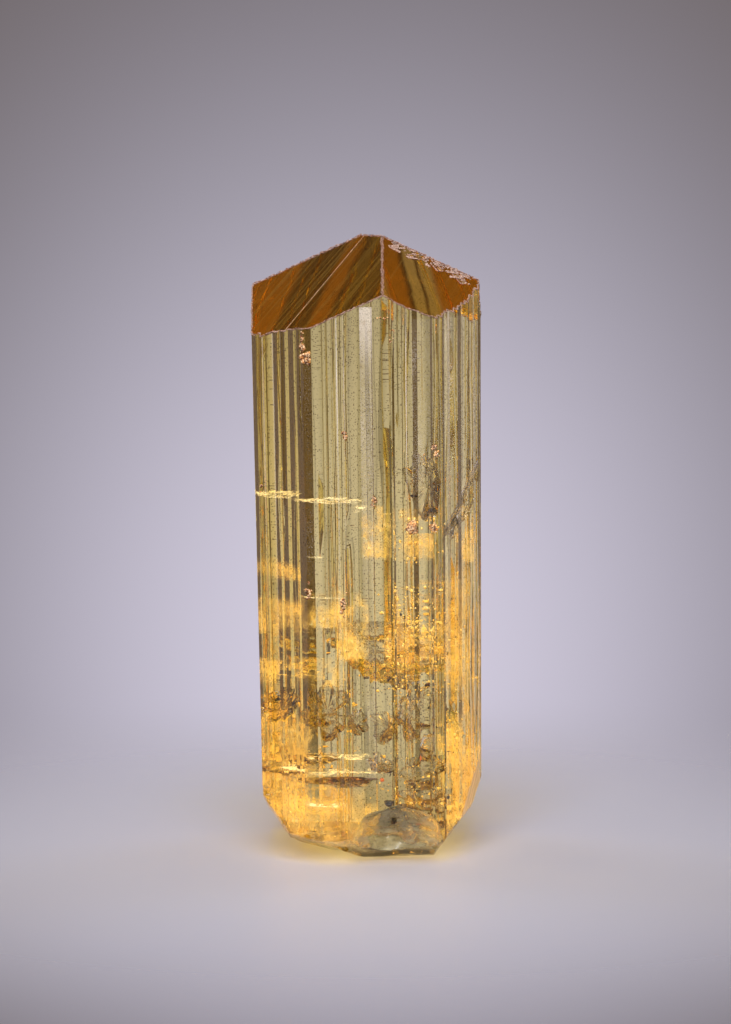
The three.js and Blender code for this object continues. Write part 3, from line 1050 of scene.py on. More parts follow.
def shard(middle, long, short, turn, random):
    """A thin plate with uneven corners on the right face of the top."""
    corners = []
    for u, v in SHARD_CORNERS:
        corners.append((u * long * (0.6 + 0.5 * next(random)), v * short * (0.6 + 0.5 * next(random))))
    spin = Matrix.Rotation(math.radians(turn), 3, "Z")
    lifts = (-SHARD_THICKNESS, SHARD_THICKNESS)
    points = [spin @ Vector((u, v, lift)) for lift in lifts for u, v in corners]
    points = placed(points, (0, 0, 0), outward_of(FRONT_RIGHT, PYRAMID_SLOPE))
    sides = [(k, (k + 1) % 4, 4 + (k + 1) % 4, 4 + k) for k in range(4)]
    return [middle + point * MM for point in points], [(3, 2, 1, 0), (4, 5, 6, 7)] + sides


def ridge_shards():
    random = number_stream(SHARD_SEED)
    parts = []
    for _ in range(SHARD_COUNT):
        out = between(SHARD_REACH, next(random))
        to_front = 0.04 + 1.1 * next(random) ** 2
        long = 0.05 + 0.4 * next(random) ** 3
        turn = SHARD_TURNS[0] if next(random) < 0.7 else SHARD_TURNS[1]
        middle = on_top(APEX[0] + out, APEX[1] - to_front)
        if is_on_gem(middle):
            parts.append(shard(middle, long, long * (0.35 + 0.3 * next(random)), turn, random))
    return joined(parts)


scratch_start = on_top(SCRATCH_FROM, front_at(SCRATCH_FROM) + ON_GEM)
scratch_frost = frost_material("scratch_line", (0.55, 0.34, 0.22, 1), (0.30, 0.14, 0.06, 1), 0.8)
piece("scratch", cord_along([(scratch_start, on_top(*SCRATCH_TO))], SCRATCH_RADIUS), scratch_frost)
shard_frost = frost_material("shard_pale", (0.56, 0.38, 0.31, 1), (0.18, 0.07, 0.03, 1), 0.62)
piece("ridge_shards", ridge_shards(), shard_frost)

# %% [markdown]
# ## Golden veils
# Old cracks have healed and left veils inside: thin sheets, some level across the crystal and some upright,
# stained gold by iron. They glow where light falls on them. A real volume would be slow and would not export,
# so each veil is a wavy sheet with holes, and each point of it carries a number that fades its rim out. What
# would stick out of the gem is trimmed away: a point is inside if the nearest bit of the gem's surface faces
# away from it. One tan haze lies just under the right back face, and dulls what that face would mirror.
# Each veil also carries a faint painted glow: light given off in the film's own tone, for light passing
# through it.

# %% Wavy sheets that stay inside
from mathutils.bvhtree import BVHTree

INSIDE_MARGIN = 0.12
SHEET_CELL = 0.16
RIM_UNEVENNESS = 0.7


def inside_tree():
    body = bmesh.new()
    body.from_mesh(prism.data)
    tree = BVHTree.FromBMesh(body)
    body.free()
    return tree


surface_tree = inside_tree()


def is_inside(point, margin=INSIDE_MARGIN):
    near, normal, _, gap = surface_tree.find_nearest(point)
    return (near - point).dot(normal) > 0 and gap > margin * MM


def wavy_sheet(middle, size, azimuth, lean, wave, seed, soft):
    """Points, faces and fades of a wavy sheet in the frame, cut off where it would leave the gem.

    Soft is how much of the sheet fades out at its sides, at its low edge and at its high edge.
    """
    columns, rows = int(size[0] / SHEET_CELL) + 1, int(size[1] / SHEET_CELL) + 1
    turn = Matrix.Rotation(math.radians(azimuth), 3, "Z") @ Matrix.Rotation(math.radians(lean), 3, "X")
    points, fades = [], []
    for v in np.linspace(0, 1, rows):
        for u in np.linspace(0, 1, columns):
            flat = Vector(((u - 0.5) * size[0], (v - 0.5) * size[1], seed))
            spot = flat * 0.35
            height = wave * (noise.noise(spot) + 0.35 * noise.noise(spot * 3.1))
            points.append(in_frame(turn @ Vector((flat.x, flat.y, height)) + Vector(middle)))
            uneven = RIM_UNEVENNESS * (noise.noise(flat * 1.1) + 0.5 * noise.noise(flat * 3.7))
            ramps = zip(soft, (min(u, 1 - u), v, 1 - v))
            fades.append(math.prod(ramp(0, share, edge + uneven * share) for share, edge in ramps))
    inside = [is_inside(p) for p in points]
    faces = [face for face in grid_faces(rows, columns) if all(inside[k] for k in face)]
    return points, faces, fades


def without_points(mesh, unwanted):
    """The mesh, smooth and without the points that the rule picks."""
    body = bmesh.new()
    body.from_mesh(mesh)
    bmesh.ops.delete(body, geom=[v for v in body.verts if unwanted(v)], context="VERTS")
    body.to_mesh(mesh)
    body.free()
    mesh.shade_smooth()
    return mesh


# %% Level veils, upright clouds and a soft glow
LEVEL_VEILS = [
    # middle, size, the azimuth that it faces, its lean from level, waviness, seed
    ((-5.6, -3.2, 17.0), (4.2, 6.5), -30, 9, 0.3, 2),
    ((-4.9, -2.6, 13.1), (5.4, 8.0), -14, 7, 0.4, 3),
    ((-3.4, -2.6, 7.3), (7.0, 7.0), 4, 12, 0.8, 5),
    ((-4.0, -1.0, 5.8), (7.0, 8.0), -18, 10, 0.8, 6),
    ((-2.8, -1.6, 3.6), (7.0, 8.0), 4, 9, 0.7, 7),
    ((4.2, -0.8, 18.2), (4.6, 6.5), 50, 14, 0.6, 8),
    ((5.9, 1.0, 12.0), (3.2, 8.0), 80, 16, 0.6, 9),
    ((5.8, 2.6, 6.8), (3.2, 7.0), 100, 14, 0.6, 11),
]
CLOUDS = [
    ((0.75, -4.9, 22.6), (2.1, 4.0), -4, 88, 0.2, 21),
    ((3.3, -4.7, 22.5), (2.4, 4.0), 6, 86, 0.25, 22),
    ((6.6, -0.4, 21.8), (2.4, 4.0), 50, 86, 0.3, 23),
    ((-0.8, -4.9, 16.2), (2.4, 5.4), -8, 84, 0.3, 25),
    ((-2.2, -4.9, 17.3), (2.6, 2.6), -4, 86, 0.25, 33),
    ((3.3, 5.6, 14.8), (4.4, 6.6), 176, 82, 0.5, 29),
    ((5.9, 3.4, 14.2), (5.0, 11.0), 96, 82, 0.6, 30),
    ((-6.2, 1.8, 13.0), (6.0, 9.0), -88, 82, 0.6, 31),
]
BANDS = [
    ((-5.9, -4.0, 19.9), (4.2, 1.5), -34, 86, 0.15, 26),
    ((-5.4, -4.4, 16.8), (5.2, 2.7), -30, 86, 0.2, 27),
    ((-4.4, -4.7, 12.9), (6.4, 2.3), -22, 86, 0.2, 28),
    ((-5.2, -3.4, 17.4), (4.6, 1.6), -34, 86, 0.2, 36),
]
GRANULAR = [
    ((3.5, -4.9, 16.4), (3.2, 4.0), 8, 82, 0.6, 24),
    ((4.4, -4.0, 14.0), (2.4, 5.0), 24, 84, 0.5, 34),
    ((1.9, -4.3, 14.6), (2.2, 3.0), -10, 80, 0.6, 35),
    ((4.7, -3.0, 2.6), (3.4, 4.4), 40, 80, 0.5, 37),
    ((5.3, -1.6, 1.8), (2.4, 3.2), 30, 78, 0.5, 38),
]
GLOWS = [
    ((-5.1, -4.5, 6.0), (4.8, 9.4), -34, 88, 0.4, 41),
    ((-4.9, -2.0, 6.2), (5.6, 10.0), -24, 86, 0.6, 42),
    ((-2.7, -5.3, 3.0), (7.0, 4.4), -6, 86, 0.4, 43),
    ((-2.3, -3.2, 2.2), (6.0, 4.0), -4, 84, 0.5, 44),
    ((5.6, -2.6, 5.4), (2.8, 9.4), 36, 86, 0.4, 45),
    ((6.2, -0.8, 11.2), (3.6, 22.0), 52, 88, 0.4, 46),
    ((5.9, 1.6, 9.5), (3.8, 17.0), 50, 86, 0.5, 47),
    ((6.6, 0.9, 4.4), (4.0, 7.4), 40, 86, 0.3, 52),
    ((-5.9, 2.0, 5.4), (6.6, 9.4), -88, 84, 0.6, 48),
    ((-3.6, 5.6, 2.8), (6.0, 4.6), 184, 84, 0.5, 49),
    ((-4.9, 5.4, 7.6), (4.6, 8.6), 186, 84, 0.5, 51),
    ((5.9, 3.4, 5.6), (5.6, 9.4), 92, 84, 0.6, 50),
]
CORNER_HAZE = [((6.9, 3.5, 37.69), (5.2, 6.4), 135, 33, 0.05, 53)]
GOLD = (0.96, 0.62, 0.16, 1)
PALE_GOLD = (1.0, 0.86, 0.52, 1)
DEEP_GOLD = (0.86, 0.47, 0.08, 1)
RICH_GOLD = (0.95, 0.68, 0.24, 1)
BROWN_GOLD = (0.62, 0.32, 0.06, 1)
HAZE_TAN = (0.44, 0.36, 0.21, 1)
HAZE_BROWN = (0.3, 0.23, 0.12, 1)
PAINTED_GLOW_SHARE = 0.1
EVEN_RIM = (0.2, 0.2, 0.2)
BAND_RIM = (0.12, 0.35, 0.45)
SHARP_BELOW = (0.16, 0.1, 0.75)


def fade_of(tree):
    """The number that each point of a sheet carries: 1 inside and 0 at its rim."""
    return new_node(tree, "Attribute", attribute_name="fade").outputs["Fac"]


def paint_glow(tree, shader, tone):
    """Painted glow: light given off in the film's own tone, standing for light through the thin film where
    the lamps hardly reach.
    """
    tree.links.new(tone, shader.inputs["Emission Color"])
    shader.inputs["Emission Strength"].default_value = PAINTED_GLOW_SHARE


def veil_material(name, size, cover, grain_low, strength, tones, stretch=1.0):
    """A stained film. Grain low is how much is left between its grains, and strength how dense it is."""
    material, tree, shader, output = new_material(name)
    main, other, pale = tones
    wide = patches(tree, size * 0.6, 0.5, 0.25, stretch=stretch, offset=(0.3, 0, 0))
    small = patches(tree, size * 0.2, 0.4, 0.15, stretch=stretch, offset=(0, 0.4, 0))
    tone = mix_colour(tree, small, mix_colour(tree, wide, main, other), pale)
    # painted glow: the film gives off a little light in its own tone
    paint_glow(tree, shader, tone)
    body = patches(tree, size, cover, 0.3, stretch=stretch)
    grain = patches(tree, size * 0.12, 0.62, 0.2, stretch=stretch, offset=(0, 0, 0.2))
    grain = smooth_range(tree, grain, 0, 1, grain_low, 1)
    dense = product(tree, body, grain, strength, fade_of(tree))
    dress(tree, shader, tone, 0.45, patches(tree, size * 0.15, 0.5, 0.4), 0.06, dense)
    return material


def veil_piece(name, sheets, soft, material):
    parts = [wavy_sheet(*sheet, soft) for sheet in sheets]
    fades = [value for part in parts for value in part[2]]
    mesh = mesh_of(name, *joined([part[:2] for part in parts]))
    mesh.attributes.new("fade", "FLOAT", "POINT").data.foreach_set("value", fades)
    thing = object_of(name, without_points(mesh, lambda v: not v.link_faces))
    keep(thing, material)
    print(name, "faces:", len(thing.data.polygons))


VEILS = [
    # name, sheets, rim, the film's name and sizes, its three tones, how far it is stretched upright
    ("level_veils", LEVEL_VEILS, EVEN_RIM, "level_veil_gold", (2.4, 0.62, 0.2, 0.85),
     (GOLD, BROWN_GOLD, RICH_GOLD), 1.0),
    ("gold_clouds", CLOUDS, SHARP_BELOW, "cloud_gold", (1.7, 0.84, 0.65, 0.8),
     (GOLD, DEEP_GOLD, PALE_GOLD), 0.6),
    ("gold_bands", BANDS, BAND_RIM, "band_gold", (2.0, 0.86, 0.6, 0.74),
     (GOLD, BROWN_GOLD, RICH_GOLD), 0.3),
    ("granular_gold", GRANULAR, EVEN_RIM, "granular_gold", (1.1, 0.66, 0.05, 1.0),
     (GOLD, BROWN_GOLD, PALE_GOLD), 1.0),
    ("golden_glow", GLOWS, EVEN_RIM, "glow_gold", (2.8, 0.76, 0.6, 0.6),
     (GOLD, GOLD, PALE_GOLD), 0.4),
    ("corner_haze", CORNER_HAZE, EVEN_RIM, "corner_haze", (1.4, 0.95, 0.8, 0.9),
     (HAZE_TAN, HAZE_BROWN, HAZE_TAN), 0.4),
]
for name, sheets, rim, film, sizes, tones, stretch in VEILS:
    veil_piece(name, sheets, rim, veil_material(film, *sizes, tones, stretch))

# %% [markdown]
# ## Healed cracks
# A few small cracks have run in level from the front and healed. Seen from the side each is a bright cream
# line, since its whole depth is looked through at once. They are sheets like the veils, but thin and pale.
# Like the veils, they carry a faint painted glow.

# %% The healed cracks
HEALED_CRACKS = [
    ((-2.6, -6.1, 24.75), (5.2, 1.5), -6, 8, 0.25, 61),
    ((-3.0, -6.0, 24.9), (4.4, 1.6), -8, 5, 0.3, 71),
    ((-5.9, -4.6, 25.0), (3.4, 3.2), -40, 8, 0.25, 62),
    ((-5.7, -4.4, 25.1), (3.2, 2.8), -40, 5, 0.3, 72),
    ((-0.4, -6.2, 24.2), (0.9, 1.2), -6, 24, 0.15, 63),
    ((-3.4, -6.4, 20.9), (1.1, 0.7), -10, 4, 0.08, 64),
    ((-3.2, -6.3, 18.2), (3.0, 0.8), -10, 3, 0.08, 65),
    ((-2.7, -5.7, 4.1), (2.6, 1.0), 0, 8, 0.25, 66),
    ((-4.6, -4.8, 6.6), (2.2, 1.8), -30, 14, 0.4, 67),
    ((-1.6, -5.2, 7.3), (4.6, 1.6), 4, 12, 0.5, 68),
    ((-1.4, -5.0, 6.4), (4.8, 1.6), 2, 10, 0.5, 69),
]
CREAM = (0.92, 0.80, 0.56, 1)
PALE_CREAM = (0.90, 0.70, 0.36, 1)


def healed_material():
    material, tree, shader, output = new_material("healed_crack")
    tone = mix_colour(tree, patches(tree, 0.8, 0.5, 0.3), CREAM, PALE_CREAM)
    # painted glow: the healed crack gives off a little light in its own tone
    paint_glow(tree, shader, tone)
    body = smooth_range(tree, patches(tree, 0.4, 0.64, 0.25), 0, 1, 0.12, 0.88)
    dense = product(tree, body, fade_of(tree))
    dress(tree, shader, tone, 0.4, patches(tree, 0.2, 0.5, 0.4), 0.03, dense)
    return material


veil_piece("healed_cracks", HEALED_CRACKS, EVEN_RIM, healed_material())

# %% [markdown]
# ## Grains and specks
# Clusters of tiny golden grains sit in the lower part, with black and rusty specks between them. Each is an
# uneven little lump. They could be instances, but the export drops those, so all of one kind are one mesh.

# %% Scatter grains and specks
GRAIN_SEED = 77
GRAIN_ZONES = [
    # middle, half sizes, how many
    ((3.0, -4.6, 14.9), (2.0, 1.6, 3.2), 420),
    ((3.4, -4.0, 22.2), (1.4, 1.2, 1.6), 70),
    ((3.4, -3.8, 5.4), (2.4, 2.0, 2.4), 90),
    ((6.0, -0.8, 10.5), (1.0, 3.0, 7.0), 120),
    ((-4.0, -3.6, 4.4), (2.8, 2.4, 2.8), 120),
    ((0.0, 3.0, 8.0), (6.0, 3.5, 7.0), 160),
]
SPECK_ZONES = [
    ((3.0, -4.6, 13.5), (2.4, 1.8, 4.5), 46),
    ((3.2, -4.2, 6.0), (3.4, 2.0, 4.5), 40),
    ((5.8, -1.8, 10.0), (1.2, 2.5, 7.0), 26),
    ((-4.4, -3.4, 6.0), (2.4, 2.4, 4.6), 16),
    ((0.0, 2.5, 9.0), (6.0, 4.0, 8.0), 34),
]
BLACK_SPECKS = [
    ((1.5, -5.4, 4.2), 0.32), ((1.85, -5.0, 2.8), 0.2), ((2.6, -4.6, 3.4), 0.2), ((4.4, -4.0, 4.5), 0.13),
]
GRAIN_SIZES = (0.025, 0.12)
SPECK_SIZES = (0.035, 0.13)
ROUNDER_FROM = 0.12
RED_SPECKS = [((3.55, -6.2, 7.35), 0.2), ((3.65, -4.4, 2.7), 0.18), ((1.05, -5.6, 5.8), 0.16)]


def little_lumps(places, flatness=1.0):
    """Uneven little lumps, from points and sizes in millimetres. Flatness squeezes them front to back."""
    parts = []
    for at, size in places:
        ball = bmesh.new()
        bmesh.ops.create_icosphere(ball, subdivisions=1 if size < ROUNDER_FROM else 2, radius=1)
        seed = Vector(at) * 3.7
        stretch = Vector([1 + 0.9 * noise.noise(seed + Vector((k * 4.1, 0, 0))) for k in range(3)])
        stretch.y *= flatness
        points = []
        for vert in ball.verts:
            rough = 1 + 0.55 * noise.noise(vert.co * 1.9 + seed)
            points.append((Vector(at) + TO_MIDDLE + vert.co * stretch * rough * size) * MM)
        parts.append((points, [tuple(v.index for v in face.verts) for face in ball.faces]))
        ball.free()
    return joined(parts)


def scattered(zones, random, sizes):
    """Points inside the gem, closer together towards the middle of each zone."""
    places = []
    for middle, half, count in zones:
        made = 0
        for _ in range(count * 4):
            offset = [h * (next(random) + next(random) - 1) * 1.3 for h in half]
            at = Vector(middle) + Vector(offset)
            size = between(sizes, next(random) ** 3)
            if made < count and is_inside(in_frame(at), size * 1.6):
                places.append((tuple(at), size))
                made += 1
    return places


def grain_material(name, first, second, roughness):
    material, tree, shader, output = new_material(name)
    tone = mix_colour(tree, patches(tree, 0.5, 0.5, 0.2), first, second)
    dress(tree, shader, tone, roughness, patches(tree, 0.05, 0.5, 0.4), 0.02)
    return material


grain_stream = number_stream(GRAIN_SEED)
grain_places = scattered(GRAIN_ZONES, grain_stream, GRAIN_SIZES)
dark_places = scattered(SPECK_ZONES, grain_stream, SPECK_SIZES) + BLACK_SPECKS
gold = grain_material("grain_gold", GOLD, PALE_GOLD, 0.35)
black = grain_material("speck_black", (0.012, 0.009, 0.008, 1), (0.09, 0.03, 0.012, 1), 0.4)
red = grain_material("speck_rust", (0.5, 0.09, 0.015, 1), (0.8, 0.25, 0.04, 1), 0.4)
piece("golden_grains", little_lumps(grain_places), gold)
piece("dark_specks", little_lumps(dark_places), black)
piece("rusty_specks", little_lumps(RED_SPECKS), red)

# %% [markdown]
# ## Rust in the etch pits
# Natural acids have etched small pits in the front, and rust has settled in them: a dark brown rim round a
# paler orange crust. Every pit is filled with a handful of small flat lumps.

# %% Fill the pits
RUST_SEED = 31
RUST_LUMPS = 12
RUST_TAIL = [(-4.33, 36.0, 0.09), (-4.36, 35.7, 0.1), (-4.3, 35.3, 0.11), (-4.2, 34.95, 0.14)]
RUST_FLATNESS = 0.4
RUST_SMUDGES = [
    (0.7, 36.95, 0.07), (0.9, 37.0, 0.11), (1.15, 36.92, 0.09), (1.38, 37.0, 0.05), (0.95, 36.75, 0.05),
    (-7.05, 25.6, 0.1), (-7.1, 25.2, 0.07), (-1.5, 17.0, 0.09), (-1.35, 18.6, 0.08), (-3.85, 19.3, 0.09),
]
RUST_LOOP = ((1.67, 35.8), (0.13, 0.42), 12)
RUST_LOOP_DOTS = 16
RUST_SUNK = 0.02
RUST_DARK = (0.15, 0.042, 0.012, 1)
RUST_ORANGE = (0.66, 0.26, 0.06, 1)
RUST_PALE = (0.90, 0.60, 0.34, 1)


def leaned(across, up, turn, tilt):
    """Across and up to a point of a leaning oval, which lies at the turn."""
    u, v, lean = across * math.cos(turn), up * math.sin(turn), math.radians(tilt)
    return u * math.cos(lean) + v * math.sin(lean), v * math.cos(lean) - u * math.sin(lean)


def rust_places():
    """Points and sizes of the lumps: smudges, a thin loop, and a handful in each pit."""
    random = number_stream(RUST_SEED)
    places = [((x, front_at(x) + RUST_SUNK, z), size) for x, z, size in RUST_TAIL + RUST_SMUDGES]
    (loop_x, loop_z), loop_half, loop_tilt = RUST_LOOP
    for k in range(RUST_LOOP_DOTS):
        dx, dz = leaned(*loop_half, math.tau * k / RUST_LOOP_DOTS, loop_tilt)
        x, z = loop_x + dx, loop_z + dz
        places.append(((x, front_at(x) + RUST_SUNK, z), 0.025 + 0.03 * next(random)))
    for x, z, (across, up), tilt in PITS:
        for _ in range(RUST_LUMPS):
            turn, reach = math.tau * next(random), math.sqrt(next(random)) * 0.9
            dx, dz = leaned(across * reach, up * reach, turn, tilt)
            size = min(across, up) * (0.45 + 0.5 * next(random))
            sunk = PIT_DEPTH * (1 - reach) * 0.7 + size * 0.2
            places.append(((x + dx, front_at(x + dx) + sunk, z + dz), size))
    return places


def rust_material():
    material, tree, shader, output = new_material("pit_rust")
    crust = mix_colour(tree, patches(tree, 0.22, 0.55, 0.12), RUST_DARK, RUST_ORANGE)
    crust = mix_colour(tree, patches(tree, 0.12, 0.52, 0.08, offset=(0.1, 0, 0)), crust, RUST_PALE)
    dress(tree, shader, crust, 0.6, patches(tree, 0.07, 0.5, 0.3), 0.04)
    return material


rust = piece("pit_rust", little_lumps(rust_places(), RUST_FLATNESS), rust_material())
rust.data.shade_smooth()

# %% [markdown]
# ## Frosted band, painted sheen and painted highlight lines
# One band of the front is etched to a fine frost, and near its top the frost closes up into a pale painted
# sheen that stands for a reflection of the light. Thin pale skins on some sharp growth lines are painted
# highlights, the glints of narrow facets. One dark strip is speckled, and dust lies on the right of the
# front.
# All are skins a hundredth of a millimetre above the gem, with grainy holes, so that the gem shows between
# the grains.

# %% Frost on the front
SKIN_LIFT = 0.012
BAND_X = (-0.56, 0.28)
DARK_STRIP_X = (-4.31, -3.83)
DUSTY_SIDE_X = (2.9, 7.5)
# painted highlights: pale lines along sharp growth lines, for the glints of the side lamps on narrow facets
HIGHLIGHT_LINES = [
    # across, from and to height, half width
    (-7.1, 8.5, 37.0, 0.045), (-6.42, 12.5, 37.2, 0.05), (-2.12, 1.5, 37.8, 0.035), (-1.66, 1.5, 38.0, 0.03),
    (2.52, 8.0, 38.4, 0.03), (5.4, 13.0, 37.9, 0.085), (6.35, 9.0, 38.6, 0.04), (7.2, 9.0, 39.0, 0.05),
]
SKIN_ROW = 0.8
SKIN_GAP = 0.06
FROST_PALE = (0.80, 0.70, 0.61, 1)
FROST_BROWN = (0.54, 0.41, 0.31, 1)
FROST_LOW, FROST_HIGH = 14, 30
SHEEN_FROM, SHEEN_TO = 31.5, 37.5


def skin(x_from, x_to, low, high, count):
    """A strip that lies just off the front of the prism."""
    xs = np.linspace(x_from, x_to, count)
    front = [(x, front_at(x)) for x in xs]
    high = min([high] + [top_at(tapered(x, high), y) - SKIN_GAP for x, y in front])
    zs = np.linspace(low, high, int((high - low) / SKIN_ROW) + 2)
    lifted = [(tapered(x, z), y + sway_at(x, y, z) - SKIN_LIFT, z) for z in zs for x, y in front]
    return [in_frame(point) for point in lifted], grid_faces(len(zs), count)


def frost_skin_material(name, cover, stretch, strength, solid):
    """A grainy frost that thins out downward. Solid is how much it closes up near the top into a pale painted
    sheen, a reflection of the light.
    """
    material, tree, shader, output = new_material(name)
    tone = mix_colour(tree, patches(tree, 0.4, 0.5, 0.3), FROST_PALE, FROST_BROWN)
    height = position(tree)[2]
    fine = patches(tree, 0.085, cover, 0.12, 0.7)
    wide = smooth_range(tree, patches(tree, 1.6, 0.55, 0.3, 0.6, stretch), 0, 1, 0.25, 1)
    fading = smooth_range(tree, height, FROST_LOW * MM, FROST_HIGH * MM, 0.25, 1)
    # painted reflection: near the top the skin closes up into a pale sheen
    painted_sheen_top = smooth_range(tree, height, SHEEN_FROM * MM, SHEEN_TO * MM, 0, solid)
    closed = product(tree, painted_sheen_top, smooth_range(tree, fine, 0, 1, 0.6, 1))
    amount = math_node(tree, "MAXIMUM", product(tree, fine, wide, fading), closed)
    dress(tree, shader, tone, 0.5, patches(tree, 0.06, 0.5, 0.4), 0.02, product(tree, amount, strength))
    return material


highlight_lines = joined([skin(x - half, x + half, low, high, 2) for x, low, high, half in HIGHLIGHT_LINES])
piece("frosted_band_and_painted_sheen", skin(*BAND_X, 6, 37.9, 10), frost_skin_material("band_frost_and_painted_sheen", 0.62, 0.25, 0.95, 0.75))
piece("painted_highlight_lines", highlight_lines, frost_skin_material("painted_line_highlight", 0.75, 0.1, 0.9, 0.0))
speckles = frost_skin_material("strip_speckles", 0.46, 0.3, 0.8, 0.0)
piece("speckled_strip", skin(*DARK_STRIP_X, 9, 34.6, 6), speckles)
piece("dusty_side", skin(*DUSTY_SIDE_X, 8, 38.2, 70), frost_skin_material("side_dust", 0.58, 0.2, 0.5, 0.0))

# %% [markdown]
# ## Dull scars
# The smooth scar low on the front is finely frosted and shows a grey-olive sheen, a reflection of the room;
# its skin carries that sheen as a painted reflection. The long scar low on the right looks gold up to its
# edge, where clear glass would mirror the room, and is finely frosted. Each gets a half-clear skin just off
# its
# surface: the shape that cut the scar, kept only where it lies on the gem.

# %% Haze on two scars
HAZE_LIFT = 0.014
# painted sheen: the grey-olive of the smooth scar's skin stands for the room's reflection on that scar
SCAR_SHEEN_GREY = (0.44, 0.40, 0.27, 1)
SCAR_SHEEN_OLIVE = (0.27, 0.24, 0.13, 1)
FLANK_GOLD = (0.86, 0.55, 0.16, 1)
FLANK_PALE = (0.93, 0.72, 0.33, 1)


def haze_piece(name, points, faces, material):
    """A piece from the part of a shape that lies on the gem."""
    mesh = mesh_of(name, points, faces)
    into_frame(mesh)
    thing = object_of(name, without_points(mesh, lambda v: not is_on_gem(v.co)))
    keep(thing, material)
    print(name, "faces:", len(thing.data.polygons))


def smooth_scar_shape():
    """The ball that cut the smooth scar, drawn in a little."""
    ball, middle = chip_ball(*CHIPS[0], 6), Vector(CHIPS[0][0])
    points = [v.co + (middle - v.co).normalized() * HAZE_LIFT for v in ball.vertices]
    return points, [tuple(face.vertices) for face in ball.polygons]


def flank_shape():
    """The block that cut the long scar, moved out a little."""
    at, azimuth, lean, hollow = SCARS[-1]
    outward = outward_of(azimuth, 180 - lean)
    points, faces = scar_block(len(SCARS) - 1)
    return [p + outward * HAZE_LIFT for p in placed(points, at, outward)], faces


def haze_material(name, first, second, stretch, cover):
    """A half-clear dull skin. Cover gives how dense it is at least and at most."""
    material, tree, shader, output = new_material(name)
    tone = mix_colour(tree, patches(tree, 1.6, 0.5, 0.4, stretch=stretch), first, second)
    dense = smooth_range(tree, patches(tree, 0.9, 0.75, 0.4, stretch=stretch), 0, 1, *cover)
    dress(tree, shader, tone, 0.35, patches(tree, 0.3, 0.5, 0.4, stretch=stretch), 0.03, dense)
    return material


scar_sheen_haze = haze_material("scar_painted_sheen", SCAR_SHEEN_GREY, SCAR_SHEEN_OLIVE, 2.5, (0.3, 0.68))
gold_haze = haze_material("flank_haze", FLANK_GOLD, FLANK_PALE, 0.3, (0.6, 0.9))
haze_piece("scar_painted_sheen", *smooth_scar_shape(), scar_sheen_haze)
haze_piece("flank_haze", *flank_shape(), gold_haze)

# %% [markdown]
# ## Stage and light
# A gem is lit by what stands round it. What is bright behind it fills its faces, and the dim places to the
# sides give its grooves their dark lines. A painted dome would do, but the world's own shader is simpler and
# has no noise: a dim room with a soft bright pool every 45 degrees, so that any side has one behind it. It is
# warmer between the pools and darker high up. The floor is a pale disc that fades into the room.

# %% Room with soft pools of light
POOL_SPACING = 45
POOL_ELEVATION = -8.4
POOL_WIDTH = 5.8
POOL_ABOVE = 7.0
POOL_BELOW = 5.0
POOL_COLOUR = (0.65, 0.61, 0.73, 1)
ROOM_COLOUR = (0.112, 0.105, 0.12, 1)
WARM_COLOUR = (0.135, 0.09, 0.058, 1)
WARM_SPREAD = 0.22
CEILING_COLOUR = (0.022, 0.02, 0.024, 1)
CEILING_FROM, CEILING_TO = 8, 30


def pale_room():
    world = bpy.data.worlds.new("pale_room")
    world.use_nodes = True
    tree = world.node_tree
    x, y, z = split_of(tree, new_node(tree, "TexCoord").outputs["Generated"])
    spacing = math.radians(POOL_SPACING)
    sideways = math_node(tree, "WRAP", math_node(tree, "ARCTAN2", x, y), spacing / 2, -spacing / 2)
    height = math_node(tree, "ARCSINE", z)
    up = math_node(tree, "SUBTRACT", height, math.radians(POOL_ELEVATION))
    reaches = (
        (sideways, POOL_WIDTH),
        (math_node(tree, "MAXIMUM", up, 0.0), POOL_ABOVE),
        (math_node(tree, "MINIMUM", up, 0.0), POOL_BELOW),
    )
    parts = [math_node(tree, "DIVIDE", part, math.radians(reach)) for part, reach in reaches]
    side, above, below = [product(tree, part, part) for part in parts]
    total = math_node(tree, "ADD", math_node(tree, "ADD", side, above), below)
    pool = math_node(tree, "EXPONENT", product(tree, total, -1.0))
    near_pool = math_node(tree, "EXPONENT", product(tree, total, -WARM_SPREAD))
    walls = mix_colour(tree, near_pool, WARM_COLOUR, ROOM_COLOUR)
    dimming = smooth_range(tree, height, math.radians(CEILING_FROM), math.radians(CEILING_TO))
    room = mix_colour(tree, pool, mix_colour(tree, dimming, walls, CEILING_COLOUR), POOL_COLOUR)
    tree.links.new(room, tree.nodes["Background"].inputs["Color"])
    bpy.context.scene.world = world


pale_room()

# %% Floor
FLOOR_RADIUS = 140
FLOOR_SIDES = 96
FLOOR_SOLID = 6
FLOOR_FADE = 70
FLOOR_COLOUR = (0.36, 0.345, 0.4, 1)


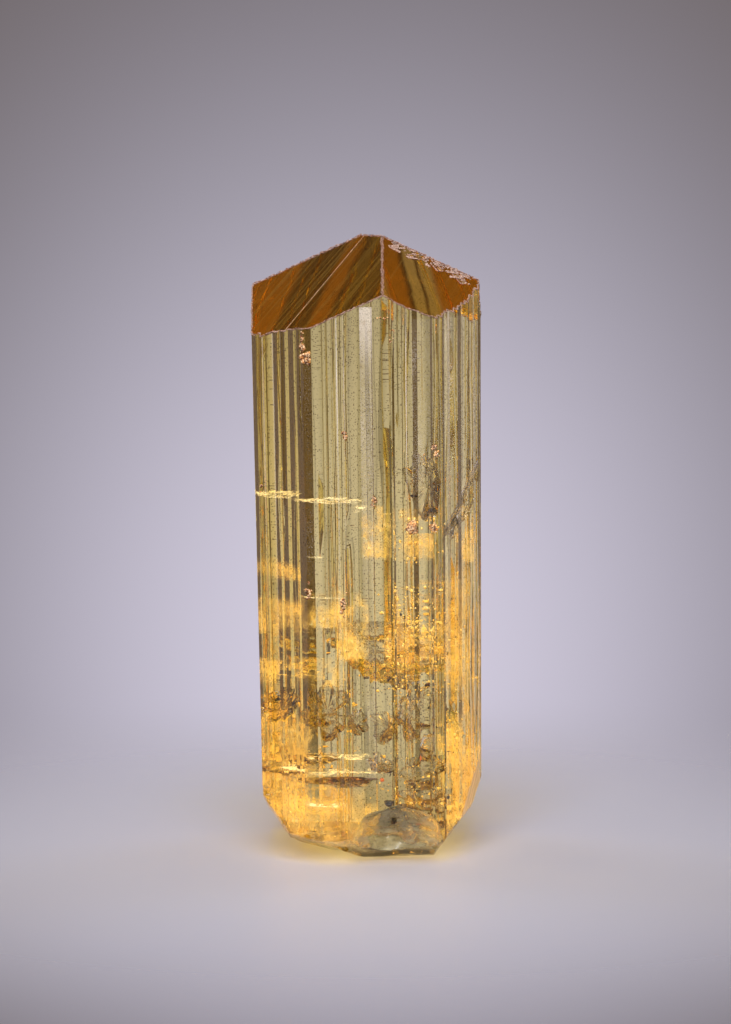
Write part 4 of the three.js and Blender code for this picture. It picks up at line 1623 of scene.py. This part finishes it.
def floor_disc():
    turns = np.linspace(0, math.tau, FLOOR_SIDES, endpoint=False)
    ring = [Vector((FLOOR_RADIUS * math.cos(a), FLOOR_RADIUS * math.sin(a), 0)) * MM for a in turns]
    thing = object_of("floor", mesh_of("floor", ring, [tuple(range(FLOOR_SIDES))]))
    material, tree, shader, output = new_material("pale_floor")
    shader.inputs["Base Color"].default_value = FLOOR_COLOUR
    shader.inputs["Roughness"].default_value = 0.5
    place = new_node(tree, "NewGeometry").outputs["Position"]
    reach = new_node(tree, "VectorMath", {0: place}, operation="LENGTH").outputs["Value"]
    fade = smooth_range(tree, reach, FLOOR_SOLID * MM, FLOOR_FADE * MM, 1, 0)
    tree.links.new(fade, shader.inputs["Alpha"])
    thing.data.materials.append(material)


floor_disc()

# %% [markdown]
# ## Lamps
# Four soft boxes light what is in the gem and on it. A flat face mirrors a lamp as a white patch, so they
# stand where no face of the top does that in the usual views, and what is seen through the gem doesn't show
# them.

# %% Lamps
def area_light(name, at, aim, size, watts):
    data = bpy.data.lights.new(name, "AREA")
    data.shape = "RECTANGLE"
    data.size, data.size_y = size[0] * MM, size[1] * MM
    data.energy = watts
    lamp = object_of(name, data)
    lamp.visible_transmission = False
    lamp.location = Vector(at) * MM
    lamp.rotation_euler = (Vector(aim) - Vector(at)).to_track_quat("-Z", "Y").to_euler()


area_light("high_softbox", (0, -185, 375), (0, 0, 20), (170, 170), 1.3)
area_light("front_softbox", (-37, -353, 300), (0, 0, 12), (240, 240), 1.65)
area_light("left_softbox", (-290, 210, 130), (0, 0, 22), (180, 320), 0.9)
area_light("right_softbox", (290, 220, 130), (0, 0, 22), (180, 320), 0.9)

# %% [markdown]
# ## Camera
# A long lens from the front and slightly above, as gem photographers use.

# %% Camera
SENSOR = 36
CAMERA_DISTANCE = 300
CAMERA_ELEVATION = 6.5
AIM = (-0.19, 0, 23.2)
FRAME_HEIGHT = 69.9
VIEW_REACH = 10


def add_camera():
    data = bpy.data.cameras.new("camera")
    data.sensor_fit = "VERTICAL"
    data.sensor_height = SENSOR
    data.lens = SENSOR * CAMERA_DISTANCE / FRAME_HEIGHT
    camera = object_of("camera", data)
    turn = math.radians(CAMERA_ELEVATION)
    back = Vector((0, -math.cos(turn), math.sin(turn)))
    camera.location = (Vector(AIM) + back * CAMERA_DISTANCE) * MM
    camera.rotation_euler = (-back).to_track_quat("-Z", "Y").to_euler()
    data.clip_end = VIEW_REACH
    bpy.context.scene.camera = camera


add_camera()

# %% Render settings that belong to glass
cycles = bpy.context.scene.cycles
cycles.max_bounces = 32
cycles.transmission_bounces = 32
cycles.glossy_bounces = 8
cycles.transparent_max_bounces = 32
bpy.context.scene.view_settings.view_transform = "Standard"
